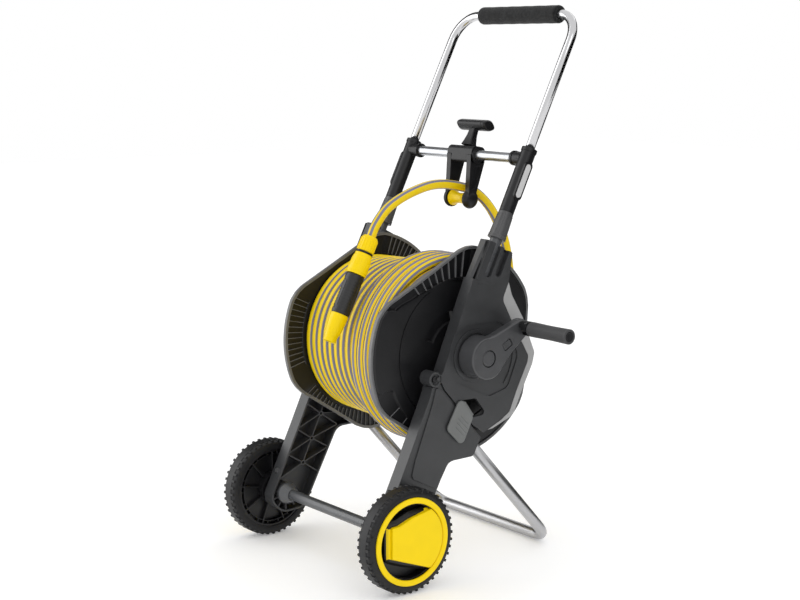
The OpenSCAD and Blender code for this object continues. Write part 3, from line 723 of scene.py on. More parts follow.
def makeWheel(side):
    name, body = ("wheelRight", "wheel_right") if side > 0 else ("wheelLeft", "wheel_left")
    at2 = mirrored(side)
    r, out, inner = place["wheelR"], place["wheelOut"], place["tyreIn"]
    base, way = at2(inner, 0, r), acrossX * side
    tyreProfile = [
        (70.05, 1.2), (73, 0.6), (77.5, 0), (81.5, 1.6), (83.4, 5), (83.8, 8.6), (85.1, 9.4), (85.3, 12), (85.3, 22),
        (85.1, 24.6), (83.8, 25.4), (83.4, 29), (81.5, 31.4), (77.5, 33.6), (74, 33.9), (71.7, 33.4), (70.05, 32.8),
    ]
    tyre = shaped(name + "Tyre", [turned(tyreProfile, base, way, 96)], bevel=0)
    lugSolids = []
    for x0, x1, r1 in ((2.4, 9.6, 85.3), (24.6, 31.6, 85.3)):
        block = [(-2.4, 81), (2.4, 81), (2.1, r1), (-2.1, r1)]
        lugSolids.append(plate([(u, v + r) for u, v in block], inner + x0, inner + x1, at2))
    lug = shaped("lug", lugSolids, bevel=0.5, steps=1)
    lugs = ringOf(name + "Lugs", lug, "tyre_rubber", wheel["lugs"], at2(0, 0, r), acrossX)
    padOuter = rounded([(-8.5, 74.5, 3), (8.5, 74.5, 3), (8.5, 82.2, 3), (-8.5, 82.2, 3)], 4)
    padInner = rounded([(-6.3, 76.6, 2), (6.3, 76.6, 2), (6.3, 80.4, 2), (-6.3, 80.4, 2)], 4)
    pad = shaped("pad", [plate([(u, v + r) for u, v in padOuter], inner + 29, inner + 34, at2)],
                 [plate([(u, v + r) for u, v in padInner], inner + 33, inner + 36, at2)], bevel=0.4, steps=1)
    pads = ringOf(name + "Pads", pad, "tyre_rubber", wheel["pads"], at2(0, 0, r), acrossX)
    small = shaped("dot", [solidRod(2.4, inner + 29, inner + 33.6, 0, r + 78.6, at2, 20)], bevel=0.4, steps=1)
    dots = ringOf(name + "Dots", small, "tyre_rubber", wheel["pads"], at2(0, 0, r), acrossX, start=15)
    addPiece(name + "Tyre", joined(name + "Tyre", tyre, lugs, pads, dots), "tyre_rubber", body,
             (body + "_tyre",))
    # rim: hub, web, barrel and spokes on the inner side
    solids = [
        turned([(5.1, 0), (14, 0), (14, 30), (5.1, 30)], at2(inner - 4, 0, r), way, 48),
        turned([(24, 0), (30, 0), (28, 22), (22, 22)], at2(inner - 8, 0, r), way, 64),
        turned([(13, 12), (68, 12), (68, 15.5), (13, 15.5)], base, way, 72),
        turned([(66, 3), (70, 3), (70, 29.8), (66, 29.8)], base, way, 96),
        turned([(59.5, 4.5), (61, 4.5), (61, 13), (59.5, 13)], base, way, 72),
    ]
    rim = shaped(name + "Rim", solids, bevel=0.5, steps=2)
    spokeSolid = plate([(-1.2, r + 27), (1.2, r + 27), (1.2, r + 66.5), (-1.2, r + 66.5)], inner + 4, inner + 13, at2)
    spoke = shaped("spoke", [spokeSolid], bevel=0.4, steps=1)
    spokes = ringOf(name + "Spokes", spoke, "inner_plastic", wheel["spokes"], at2(0, 0, r), acrossX)
    notchSolid = plate([(-0.8, r + 60.5), (0.8, r + 60.5), (0.8, r + 66.5), (-0.8, r + 66.5)], inner + 5, inner + 13, at2)
    notches = ringOf(name + "Notches", shaped("notch", [notchSolid], bevel=0.3, steps=1), "inner_plastic", 18,
                     at2(0, 0, r), acrossX, start=10)
    # dark facets under the yellow cover, seen above and below it
    facets = shaped(name + "Facets", [plateClipped(wheel["cover"], -8.5, 61.5, inner + 15, out - 6.2, at2, r)],
                    bevel=4.5, steps=1, angle=40, smooth=20)
    ringLip = shaped(name + "Lip", [turned([(60.2, 15), (61.9, 15), (61.9, 31.5), (60.2, 31.5)], base, way, 96)],
                     bevel=0.4, steps=1)
    addPiece(name + "Rim", joined(name + "Rim", rim, spokes, notches, facets, ringLip), "inner_plastic", body,
             (body + "_rim",))
    # yellow ring and cover
    ring = shaped(name + "Ring", [turned([(62, 33.1), (71.5, 33.1), (71.5, 35.2), (70.6, 36.6), (66.5, 37),
                                          (63.2, 36.4), (62, 35)], base, way, 96)], bevel=0.3, steps=1)
    plateSolid = plateClipped(wheel["cover"], 0, 61.5, inner + 27, out - 0.6, at2, r)
    cover = shaped(name + "Cover", [plateSolid], bevel=3.4, steps=2, angle=40)
    shifted = [(point[0] - 7, *point[1:]) for point in wheel["cover"]]
    step = shaped(name + "Step", [plateClipped(shifted, 0, 61.5, inner + 26, out - 5.5, at2, r)], bevel=3, steps=1,
                  angle=40, smooth=20)
    addPiece(name + "Cover", joined(name + "Cover", ring, cover, step), "yellow_plastic", body,
             (body + "_cover",))


def plateClipped(points, d, limit, x0, x1, where, r):
    # an outline round the wheel's centre, cut to a circle
    outline = rounded(inset(points, d) if d else points, 4)
    clipped = []
    for u, v in outline:
        far = math.hypot(u, v)
        k = min(1, limit / far)
        clipped.append((u * k, v * k + r))
    # the round side between the two last corners
    first, last = clipped[0], clipped[-1]
    a0 = math.atan2(last[1] - r, last[0])
    a1 = math.atan2(first[1] - r, first[0])
    for k in range(1, 18):
        a = a0 + (a1 - a0) * k / 18
        clipped.append((limit * math.cos(a), limit * math.sin(a) + r))
    clean = []
    for p in clipped:
        if not clean or math.dist(p, clean[-1]) > 0.6:
            clean.append(p)
    return plate(clean, x0, x1, where)


for side in (-1, 1):
    makeWheel(side)
print("wheels made")


# ---- undercarriage --------------------------------------------------------------------------
leg = {
    "outline": [(95, 321, 2), (101, 309, 4), (121, 287, 3), (160, 243, 3), (182, 218.5, 2), (166, 189, 8),
                (111, 188, 22), (56, 84, 16), (40, 53, 22), (-8, 50, 30), (-34, 76, 22), (27, 201, 40), (74, 301, 4),
                (83, 329, 2)],
    "pad": [(86, 318, 2), (98, 307, 4), (118, 285, 3), (158, 241, 3), (177, 218, 4), (163, 192, 8), (113, 191, 22),
            (86, 147, 9), (34, 173, 9), (42, 201, 30), (78, 290, 6)],
    "bosses": [(37, 134), (56, 175), (76, 217), (96, 262)],
    "front": [(-18, 110), (4, 154), (25, 196), (46, 240), (68, 287)],
    "rear": [(70, 112), (92, 154), (112, 192), (150, 212), (136, 258)],
    "wall": 3.5, "rib": 1.9,
}


def makeLeg(side):
    name = "legRight" if side > 0 else "legLeft"
    at2 = mirrored(side)
    low, high, r = place["legIn"], place["legOut"], place["wheelR"]
    outline = rounded(leg["outline"])
    inner = rounded(inset(leg["outline"], leg["wall"]))
    hingeY, hingeZ = place["hinge"]
    shell = plate(outline, low, high, at2)
    hollow = plate(inner, low - 1, high - 4, at2)
    seat = solidRod(13.3, 149.7, high + 1, hingeY, hingeZ, at2)
    socket = onStand(side, 60, 330, 9.55)
    rod = solidRod(5.05, low - 5, high + 20, 0, r, at2)
    skin = shaped(name + "Skin", [shell], [hollow, seat, rod, plate(
        [(50, 70), (-60, 70), (-60, 60), (50, 60)], high + 2, high + 3, at2)], bevel=1.1, steps=3)
    # raised outer pad that ends above the wheel
    pad = shaped(name + "Pad", [plate(rounded(leg["pad"]), high - 1, high + 2.2, at2)],
                 [solidRod(16, high - 3, high + 5, hingeY, hingeZ, at2)], bevel=1.4, steps=3)
    hubSolid = turned([(5.1, 0), (14, 0), (14, 9.5), (5.1, 9.5)], at2(high - 1, 0, r), acrossX * side, 48)
    ribs = []
    for i, boss in enumerate(leg["bosses"]):
        ends = [leg["front"][i], leg["front"][i + 1], leg["rear"][i], leg["rear"][i + 1]]
        if i < 3:
            ends.append(leg["bosses"][i + 1])
        for end in ends:
            d = (Vector(end) - Vector(boss)).normalized()
            start = Vector(boss) + d * 4.2
            stop = Vector(end) - d * (1.2 if end not in leg["bosses"] else 4.2)
            ribs.append(ribBar(tuple(start), tuple(stop), leg["rib"], low + 1.2, high - 3.5, at2))
        ribs.append(ringRod(2.6, 4.8, low + 0.4, high - 3.5, *boss, at2, 24))
    edges = [(-8, 50, 30), (40, 53, 22)]
    for a in (200, 235, 270, 305, 340):
        p = (16 * math.cos(math.radians(a)), r + 16 * math.sin(math.radians(a)))
        q = (31 * math.cos(math.radians(a)), r + 31 * math.sin(math.radians(a)))
        ribs.append(ribBar(p, q, leg["rib"], low + 1.2, high - 3.5, at2))
    ribs.append(ringRod(15, 17.5, low + 1.2, high - 3.5, 0, r, at2, 48))
    lattice = shaped(name + "Ribs", ribs, [hollowOut(leg["outline"], at2, low, high)], bevel=0.45, steps=1)
    knuckle = shaped(name + "Knuckle", [ringRod(5.1, 12.5, 143, 149.7, hingeY, hingeZ, at2)], bevel=0.7, steps=2)
    block = [(176, 208), (160, 196), (124, 236), (118, 252), (140, 262), (182, 216)]
    keep = shaped(name + "Block", [plate(block, low, high - 4, at2)], [
        hollowOut(leg["outline"], at2, low - 5, high + 5), socket], bevel=0.6, steps=1)
    mesh = joined(name, skin, pad, shaped(name + "Hub", [hubSolid], bevel=0.6), knuckle, keep)
    addPiece(name, mesh, "frame_plastic", "undercarriage", ("leg_right" if side > 0 else "leg_left",))
    addPiece(name + "Ribs", lattice, "rib_plastic", "undercarriage")
    return edges


def hollowOut(outline, where, x0, x1):
    # everything outside the outline, to trim ribs back to the edge wall
    near = rounded(inset(outline, 1.2))
    far = [(-200, -100), (400, -100), (400, 500), (-200, 500)]
    bm = bmesh.new()
    sides = []
    for x in (x0 - 2, x1 + 2):
        sides.append(([bm.verts.new(where(x, u, v)) for u, v in near], [bm.verts.new(where(x, u, v)) for u, v in far]))
    for loops in zip(*sides):
        a, b = loops
        for i in range(len(a)):
            bm.faces.new((a[i - 1], a[i], b[i], b[i - 1]))
    for rim, box in sides:
        edgeSet = []
        for loop in (rim, box):
            for i in range(len(loop)):
                edgeSet.append(bm.edges.get((loop[i - 1], loop[i])))
        bmesh.ops.triangle_fill(bm, edges=edgeSet, use_beauty=True)
    bmesh.ops.recalc_face_normals(bm, faces=bm.faces)
    return bm


standFoot = (350, 9.5)
standTilt = math.atan2(standFoot[0] - 177, 199 - standFoot[1])


def onStandPoint(x, t, s):
    # s runs up the stand's slanting tubes from the floor
    return at(x, standFoot[0] - s * math.sin(standTilt) + t * math.cos(standTilt),
              standFoot[1] + s * math.cos(standTilt) + t * math.sin(standTilt))


def onStand(side, s0, s1, r):
    start, end = onStandPoint(side * 154, 0, s0), onStandPoint(side * 154, 0, s1)
    return turned([(0, 0), (r, 0), (r, s1 - s0), (0, s1 - s0)], start, end - start, 40)


def pipe(name, points, r, n, uvName=None):
    mesh, length = tubeMesh(name, points, r / 1000, n, up=Vector((0, 1, 0)))
    for polygon in mesh.polygons:
        polygon.use_smooth = len(polygon.vertices) == 4
    return mesh


def bentRoute(where, half, bend, leg, s0, up):
    # a U bend: down one side, round, across and up the other
    out = []
    for k in range(13):
        a = math.pi / 2 * k / 12
        out.append((-half + bend - bend * math.cos(a), s0 + up * (bend - bend * math.sin(a))))
    left = [(-half, s0 + up * leg)] + out
    right = [(-x, s) for x, s in reversed(left)]
    return [where(x, 0, s) for x, s in left + right]


def makeStand():
    reach = math.hypot(350 - 133, 247.2 - 9.5)
    path = bentRoute(onStandPoint, 154, 34, reach, 0, 1)
    addPiece("standTube", pipe("standTube", path, 9.5, 40), "stand_steel", "undercarriage",
             ("stand_tube",))


def makeAxle():
    r = place["wheelR"]
    for side in (-1, 1):
        at2 = mirrored(side)
        profile = [(9.3, 0), (11.4, 0), (12, 0.8), (18.6, 15.4), (19, 16.4), (19, 21.4), (18.4, 21.9), (9.3, 21.9)]
        cone = turned(profile, at2(place["legIn"] - 22, 0, r), acrossX * side, 64)
        screw = solidRod(3, place["legIn"] - 10.5, place["legIn"] - 5.5, 11, r + 9, at2, 24)
        mesh = shaped("collar", [cone], bevel=0.5)
        name = "axleCollarRight" if side > 0 else "axleCollarLeft"
        addPiece(name, joined(name, mesh, shaped("s", [screw], bevel=0.5)), "axle_paint", "undercarriage",
                 ("axle_collar_right" if side > 0 else "axle_collar_left",))


for side in (-1, 1):
    makeLeg(side)
makeStand()
makeAxle()
print("undercarriage made")


# ---- side panels ------------------------------------------------------------------------------
panel = {
    "outline": [(95.5, 322, 2), (101.7, 310, 4), (121.7, 288, 3), (160.7, 244, 3), (185, 226.5, 3), (222, 242, 10),
                (242, 254, 10), (257, 288, 12), (281, 334, 8), (283, 345, 8), (245, 408, 20), (224, 446, 14),
                (238, 475, 16), (245.5, 522, 7), (194.5, 548, 3), (162, 489, 30), (97, 337, 12), (83, 329, 2)],
    "trim": [(236, 477, 1), (221.6, 446, 14), (242.6, 408, 20), (280.6, 345, 8), (278.6, 334, 8), (254.6, 290, 12),
             (240.6, 257, 10), (220.3, 245, 10), (187, 229.5, 1), (204, 231, 6), (243, 245, 14), (252, 252, 10),
             (266, 281, 12), (292, 330, 12), (297, 349, 10), (270, 410, 20), (244, 452, 14)],
    "dish": [(112, 392, 16), (150, 412, 20), (224, 410, 24), (261, 350, 20), (238, 296, 20), (196, 286, 20),
             (118, 322, 20)],
    "recess": [(132, 288, 2), (168, 287, 6), (192, 257, 6), (157, 255.5, 2)],
}


def makePanel(side):
    name = "sidePanelRight" if side > 0 else "sidePanelLeft"
    at2 = mirrored(side)

    def tilt(x, t, s):
        return onHandle(side * x, t, s)

    low, high = place["panelIn"], place["panelOut"]
    drumY, drumZ = place["drum"]
    hingeY, hingeZ = place["hinge"]
    cuts = [
        plate(rounded(inset(panel["outline"], 4)), low - 1, high - 4.5, at2),
        plate(rounded(panel["recess"]), high - 9, high + 2, at2),
        solidRod(16.1, low - 2, high + 2, drumY, drumZ, at2),
        solidRod(5.05, 140, high - 2, hingeY, hingeZ, at2),
        solidRod(13.3, 140, 150, hingeY, hingeZ, at2),
    ]
    # shallow dish round the crank, with a lip that runs round its rear
    dish = plate(rounded(panel["dish"]), high - 1.6, high + 2, at2)
    # flutes beside the tube, round at the bottom
    flutes = []
    slots = [(-10.5, 2.6, -17), (9.6, 22.4, -8)]
    for t0, t1, foot in slots:
        flutes.append(plate(rounded([(t0, 62, 0.5), (t0, foot, 5.8), (t1, foot, 5.8), (t1, 62, 0.5)], 8),
                            high - 8, high + 3, tilt))
    def makeCorners():
        made = []
        for a, b in ((172, 158), (139, 152)):
            bm = bmesh.new()
            tri = [(a, -15), (a, -32), (b, -32)]
            lowRing = [bm.verts.new(tilt(x, t, -30)) for x, t in tri]
            highRing = [bm.verts.new(tilt(x, t, 70)) for x, t in tri]
            bm.faces.new(lowRing)
            bm.faces.new(list(reversed(highRing)))
            for i in range(3):
                bm.faces.new((lowRing[i - 1], lowRing[i], highRing[i], highRing[i - 1]))
            bmesh.ops.recalc_face_normals(bm, faces=bm.faces)
            made.append(bm)
        return made

    bore = solidTilted(side, -56.05, 64, 10.05)
    shell = shaped(name + "Shell", [plate(rounded(panel["outline"]), low, high, at2)],
                   cuts + [dish] + flutes + makeCorners() + [bore], bevel=1.3, steps=3)
    # the socket's block behind the outer wall
    block = [(158, 442), (194, 434), (243.5, 518), (195.5, 545)]
    blockCuts = [solidTilted(side, -56.05, 64, 10.05)] + makeCorners()
    for t0, t1, foot in slots:
        blockCuts.append(plate(rounded([(t0, 62, 0.5), (t0, foot, 5.8), (t1, foot, 5.8), (t1, 62, 0.5)], 8),
                               high - 8, high + 3, tilt))
    inner = shaped(name + "Block", [plate(rounded(inset([(*p, 3) for p in block], -2.4)), 147, high - 3.9, at2)], blockCuts,
                   bevel=0.8, steps=2)
    # the ribbed back of the tube between the flutes
    ridges = []
    for k in range(20):
        s = -10 + 2.5 * k
        ridges.append(plate([(3.3, s), (8.9, s), (8.9, s + 1.2), (3.3, s + 1.2)], high - 1, high + 0.5, tilt))
    comb = shaped(name + "Comb", ridges, bevel=0.3, steps=1)
    face = rounded([(-24.5, 39.5, 2), (30, 39.5, 2), (29, -3, 3), (14, -23, 4), (-16, -33, 3), (-24.5, -26, 2)], 4)
    faceCuts = [plate(rounded([(t0, 62, 0.5), (t0, foot, 5.8), (t1, foot, 5.8), (t1, 62, 0.5)], 8), high - 2, high + 3,
                      tilt) for t0, t1, foot in slots]
    comb = joined(name + "Face", comb, shaped(name + "Raised", [plate(face, high - 0.6, high + 0.75, tilt)], faceCuts,
                                              bevel=0.6, steps=2))
    # rims of the bearing and of the hinge
    hub = shaped(name + "Hub", [ringRod(16.1, 24, low, high - 4, drumY, drumZ, at2)], bevel=0.6)
    eye = shaped(name + "Eye", [
        turned([(5.1, 0), (12.5, 0), (12.5, 19), (11.6, 20), (9.2, 20), (8.4, 17.5), (5.1, 16)],
               at2(150, hingeY, hingeZ), acrossX * side, 56)], bevel=0.4)
    # raised ring and arc inside the dish
    arcs = shaped(name + "Arcs", [
        ringRod(37.6, 43, high - 1.7, high + 0.3, drumY, drumZ, at2),
        arcBar(drumY, drumZ, 84, 88, -40, -2, high - 1.7, high + 0.1, at2),
    ], bevel=0.5)
    mesh = joined(name, shell, inner, comb, hub, eye, arcs)
    addPiece(name, mesh, "frame_plastic", "upper_frame",
             ("side_panel_right" if side > 0 else "side_panel_left",))
    trimName = "trimRight" if side > 0 else "trimLeft"
    strip = shaped(trimName, [plate(rounded(panel["trim"]), low + 9, high + 0.8, at2)],
                   [plate(rounded(inset(panel["outline"], -0.1)), low, high + 3, at2)], bevel=1.2, steps=3)
    addPiece(trimName, strip, "light_grey_plastic", "upper_frame",
             ("trim_right" if side > 0 else "trim_left",))


def arcBar(u, v, r0, r1, a0, a1, x0, x1, where):
    steps = max(8, int(abs(a1 - a0) / 5))
    outline = []
    for r, order in ((r1, range(steps + 1)), (r0, range(steps, -1, -1))):
        for k in order:
            a = math.radians(a0 + (a1 - a0) * k / steps)
            outline.append((u + r * math.cos(a), v + r * math.sin(a)))
    return plate(outline, x0, x1, where)


def solidTilted(side, s0, s1, r, n=48):
    start, end = onHandle(side * place["tubeX"], 0, s0), onHandle(side * place["tubeX"], 0, s1)
    return turned([(0, 0), (r, 0), (r, s1 - s0), (0, s1 - s0)], start, end - start, n)


def makeLatch(side):
    name = "latchRight" if side > 0 else "latchLeft"
    at2 = mirrored(side)
    high = place["panelOut"]
    outline = [(133, 296, 9), (160, 258, 9), (136, 211, 9), (103, 244, 9)]
    body = shaped(name, [plate(rounded(outline, 8), high + 0.3, high + 4.6, at2)], bevel=1.8, steps=4)
    ridges = []
    for a, b in (((133, 263), (149, 247)), ((127.5, 259.5), (148.5, 238.5)), ((124.5, 253), (144.5, 233)),
                 ((122, 246), (137.5, 230.5))):
        ridges.append(ribBar(a, b, 1.5, high + 4, high + 5.3, at2))
    comb = shaped(name + "Comb", ridges, bevel=0.5, steps=2)
    tongue = [(137, 285, 1), (145, 285, 1), (164, 259, 1), (156, 259, 1)]
    stem = shaped(name + "Stem", [plate(rounded(tongue), high - 7, high + 0.6, at2)], bevel=0.5)
    body2 = "latch_right" if side > 0 else "latch_left"
    addPiece(name, joined(name, body, comb, stem), "grey_plastic", body2, (body2,))


for side in (-1, 1):
    makePanel(side)
    makeLatch(side)
print("panels made")


# ---- drum ---------------------------------------------------------------------------------
flange = {
    "r": 178, "flats": [(117, 147), (237, 156), (357, 156)], "soft": 5, "rim": 5, "ribStep": 3.4,
    "groove": [(77, 124), (98, 121), (115, 119), (134, 132), (146, 148)], "pocket": 141,
}


def flangeRay(a):
    out = flange["r"]
    for middle, far in flange["flats"]:
        off = abs((a - middle + 180) % 360 - 180)
        if off < 80:
            out = min(out, far / math.cos(math.radians(off)))
    return out


def flangeEdge(a):
    soft = flange["soft"]
    return (flangeRay(a - soft) + flangeRay(a) + flangeRay(a + soft)) / 3


def ease(t):
    t = min(max(t, 0), 1)
    return t * t * (3 - 2 * t)


def between(a, a0, a1, fade=2.5):
    # 1 inside the sector, fading to 0 past its ends
    a = (a - a0) % 360 + a0
    if a > a1 + (360 - (a1 - a0)) / 2:
        a -= 360
    return ease((a - a0) / fade + 1) * ease((a1 - a) / fade + 1)


def ringRelief(name, loops, where):
    # closed ring: one loop of (x, radius) for every angle in degrees
    y0, z0 = place["drum"]
    bm = bmesh.new()
    rows = []
    for angle, loop in loops:
        a = math.radians(angle)
        rows.append([bm.verts.new(where(x, y0 + r * math.cos(a), z0 + r * math.sin(a))) for x, r in loop])
    for i in range(len(rows)):
        first, second = rows[i - 1], rows[i]
        for k in range(len(first)):
            bm.faces.new((first[k - 1], first[k], second[k], second[k - 1]))
    bmesh.ops.recalc_face_normals(bm, faces=bm.faces)
    mesh = bpy.data.meshes.new(name)
    bm.to_mesh(mesh)
    bm.free()
    return mesh


def tableAt(rows, a):
    for (a0, v0), (a1, v1) in zip(rows, rows[1:]):
        if a0 <= a <= a1:
            return v0 + (v1 - v0) * (a - a0) / (a1 - a0)
    return rows[0][1] if a < rows[0][0] else rows[-1][1]


def makeFlange(side):
    name = "flangeRight" if side > 0 else "flangeLeft"
    at2 = mirrored(side)
    base = place["flangeIn"]
    loops, rims = [], []
    for k in range(240):
        a = 1.5 * k
        edge = flangeEdge(a)
        top, low = between(a, 78, 147), between(a, 200, 236)
        smooth = edge - 8
        grooveR = tableAt(flange["groove"], a)
        plateau = smooth + (grooveR - smooth) * top + (flange["pocket"] - smooth) * low
        floor = 4.6 + (0.9 - 4.6) * top + (3.4 - 4.6) * low * (1 - top)
        notch = between(a, 100, 156)
        ribBack = 1 - max(between(a, 80, 152), between(a, 198, 214))
        sink = 2.6 * ribBack * (1 - top) + 0.05
        front = [
            (10, 12.1), (10, 31.5), (9.2, 33.4), (5.6, 34.4), (5.4, 52), (5.4 - 4.2 * notch, 54),
            (5.4 - 4.2 * notch, 69), (5.6, 71), (5.3, 84), (5.2, 100), (5.6, 117.4), (5.5, 118.2), (4.3, 118.8),
            (4.3, 119.8), (6.2, 120.6), (6.6, 122.4), (6.6, plateau - 2), (6.1, plateau - 0.7),
            (floor + 0.6, plateau + 0.6), (floor, plateau + 1.6), (floor, (plateau + edge - 5) / 2),
            (floor, edge - 6.4), (floor + 0.5, edge - 5.6), (6.2, edge - 4.8),
        ]
        back = [
            (0.05, edge - 4.8), (sink, edge - 5.4), (sink, 143), (0.05, 141.5), (0.05, 101), (-8, 101), (-8, 98),
            (0.6, 97), (0.6, 12.1),
        ]
        loops.append((a, [(base + x, r) for x, r in front + back]))
        rims.append((a, [(base + x, edge - r) for x, r in (
            (0.05, 5), (6.3, 5), (6.9, 4.3), (7, 3.4), (6.2, 2.9), (6.2, 2.3), (7, 1.8), (6.9, 0.8), (6.3, 0), (0.05, 0))]))
    disc2 = ringRelief(name, loops, at2)
    smoothEdges(disc2, 28)
    stand = "flange_right" if side > 0 else "flange_left"
    addPiece(name, disc2, "black_plastic", "drum", (stand,))
    rim = ringRelief(name + "Rim", rims, at2)
    smoothEdges(rim, 50)
    addPiece(name + "Rim", rim, "rim_plastic", "drum")
    # fine ribs in the pockets: inside the flange all round, outside along the flat; they take a lighter grey than the
    # flange as a painted highlight on their thin edges
    y0, z0 = place["drum"]
    ribs = []
    count = int(360 / flange["ribStep"])
    for k in range(count):
        a = k * 360 / count
        rad = math.radians(a)
        d = Vector((math.cos(rad), math.sin(rad)))
        far = flangeEdge(a) - 5
        if not (75 < a < 154 or 197 < a < 216):
            p, q = Vector((y0, z0)) + d * 142.5, Vector((y0, z0)) + d * far
            if far > 146:
                ribs.append(ribBar(tuple(p), tuple(q), 1.0, base + 0.15, base + 2.9, at2))
    for a in (84, 90, 96, 102, 108, 114, 120, 127, 214, 224):
        rad = math.radians(a)
        d = Vector((math.cos(rad), math.sin(rad)))
        start = (tableAt(flange["groove"], a) if a < 180 else flange["pocket"]) + 1
        p, q = Vector((y0, z0)) + d * start, Vector((y0, z0)) + d * (flangeEdge(a) - 5.5)
        ribs.append(ribBar(tuple(p), tuple(q), 1.3, base + (0.6 if a < 180 else 3), base + (4.4 if a < 180 else 4.6), at2))
    addPiece(name + "Ribs", shaped(name + "Ribs", ribs, bevel=0.3, steps=1), "rib_painted_highlight", "drum")


for side in (-1, 1):
    makeFlange(side)
print("drum made")


# ---- crank --------------------------------------------------------------------------------
crank = {
    "arm": [(6, -34.4, 1), (42, -23, 20), (85, -17, 4), (95, -12, 8), (98, 0, 8), (95, 11, 8), (85, 15, 4),
            (30, 25, 30), (6, 34.4, 1)],
    "button": (43.5, -4), "gripLength": 91,
}


def united(first, *others):
    # one closed solid from overlapping ones
    part = looseObject(first)
    rest = [looseObject(bm) for bm in others]
    for thing in rest:
        change = part.modifiers.new("join", "BOOLEAN")
        change.operation = "UNION"
        change.solver = "EXACT"
        change.object = thing
    mesh = evaluated(part, "joinWork")
    dropObject(part)
    for thing in rest:
        dropObject(thing)
    bm = bmesh.new()
    bm.from_mesh(mesh)
    bpy.data.meshes.remove(mesh)
    return bm


def tapered(outline, lip, xs, where):
    # a prism whose outer edge is a chamfer
    bm = bmesh.new()
    rows = [[bm.verts.new(where(x, u, v)) for u, v in points]
            for x, points in zip(xs, (rounded(outline, 8), rounded(outline, 8), rounded(inset(outline, lip), 8)))]
    for first, second in zip(rows, rows[1:]):
        for i in range(len(first)):
            bm.faces.new((first[i - 1], first[i], second[i], second[i - 1]))
    bm.faces.new(rows[0])
    bm.faces.new(list(reversed(rows[-1])))
    bmesh.ops.recalc_face_normals(bm, faces=bm.faces)
    return bm


def makeCrank():
    armIn, armOut = place["armIn"], place["armOut"]
    high = place["panelOut"]
    throw = place["crankThrow"]
    hub = turned([(0, 0), (33.6, 0), (35, 1.4), (35, 33.2), (33.9, 35.1), (32, 36), (0, 36)], onCrank(high + 1, 0, 0),
                 acrossX, 96)
    arm = tapered(crank["arm"], 2.4, (armIn, armOut - 2.4, armOut), onCrank)
    body = united(hub, arm)
    u, v = crank["button"]
    pocket = rounded([(u - 10, v - 7, 3), (u + 10, v - 7, 3), (u + 10, v + 7, 3), (u - 10, v + 7, 3)])
    mesh = shaped("crankArm", [body], [
        solidRod(14.3, armOut - 6, armOut + 4, 0, 0, onCrank, 64), plate(pocket, armOut - 7, armOut + 4, onCrank),
        solidRod(12.05, high - 1, armOut - 11, 0, 0, onCrank, 48),
    ], bevel=0.6, steps=2, angle=60, clamp=True, merge=0.05)
    tongue = shaped("tongue", [united(
        plate([(throw - 5.6, -4), (throw + 5.6, -4), (throw + 5.6, 4), (throw - 5.6, 4)], armOut - 2, 220, onCrank),
        turned([(0, 0), (5.6, 0), (5.6, 8), (0, 8)], onCrank(220, throw, -4), onCrank(0, 0, 1) - onCrank(0, 0, 0), 40))],
        [turned([(0, 0), (3.08, 0), (3.08, 20), (0, 20)], onCrank(220, throw, -10),
                onCrank(0, 0, 1) - onCrank(0, 0, 0), 32)], bevel=0.6)
    addPiece("crankArm", joined("crankArm", mesh, tongue), "crank_plastic", "drum", ("crank_arm",))
    cap = shaped("crankCap", [turned([(0, 0), (12.9, 0), (12.9, 4.6), (11.8, 5.4), (0, 5.5)],
                                     onCrank(armOut - 6, 0, 0), acrossX, 64)], bevel=0.5)
    addPiece("crankCap", cap, "crank_plastic", "drum", ("crank_cap",))
    solids = [plate(rounded([(u - 8.6, v - 5.6, 2.2), (u + 8.6, v - 5.6, 2.2), (u + 8.6, v + 5.6, 2.2),
                             (u - 8.6, v + 5.6, 2.2)]), armOut - 4.6, armOut - 0.4, onCrank)]
    button = shaped("crankButton", solids, bevel=0.8, steps=3)
    bars = [ribBar((u + d, v - 4), (u + d, v + 4), 1.6, armOut - 1, armOut + 0.2, onCrank) for d in (-5, -1.8, 1.4, 4.6)]
    addPiece("crankButton", joined("crankButton", button, shaped("bars", bars, bevel=0.4, steps=2)), "crank_plastic",
             "crank_button", ("crank_button",))
    # grip: a sleeve with fine rings, a cup at its root and a disc in its end
    length = crank["gripLength"]
    start = place["gripX"] + 6.5
    profile = [(4.1, 0), (11.2, 0), (11.8, 0.6)]
    rings = 32
    for k in range(rings + 1):
        d = 2.2 + (length - 9.5) * k / rings
        swell = 12.35 - 0.5 * math.sin(math.pi * (d / length)) ** 2
        profile += [(swell - 0.35, d), (swell, d + 0.5), (swell, d + 1.4), (swell - 0.35, d + 1.9)]
    profile += [(12.4, length - 5.4), (12.4, length - 1.6), (11.3, length - 0.4), (9.2, length - 0.4),
                (8.6, length - 1), (8.6, length - 5), (4.1, length - 5)]
    sleeve = turned(profile, onCrank(start, throw, 0), acrossX, 64)
    addPiece("crankGrip", shaped("crankGrip", [sleeve], bevel=0, smooth=60), "rubber", "grip_sleeve",
             ("crank_grip",))
    disc3 = turned([(0, 0), (8.3, 0), (8.3, 3.4), (7.4, 3.9), (6.2, 3.9), (5.8, 3.5), (0, 3.5)],
                   onCrank(start + length - 5, throw, 0), acrossX, 48)
    addPiece("gripCap", shaped("gripCap", [disc3], bevel=0.3), "black_plastic", "grip_sleeve",
             ("grip_cap",))
    addPiece("gripSpindle", shaped("gripSpindle", [copyNode("grip_spindle")], bevel=0.6), "black_plastic",
             "grip_fold", ("grip_spindle",))


makeCrank()
print("crank made")


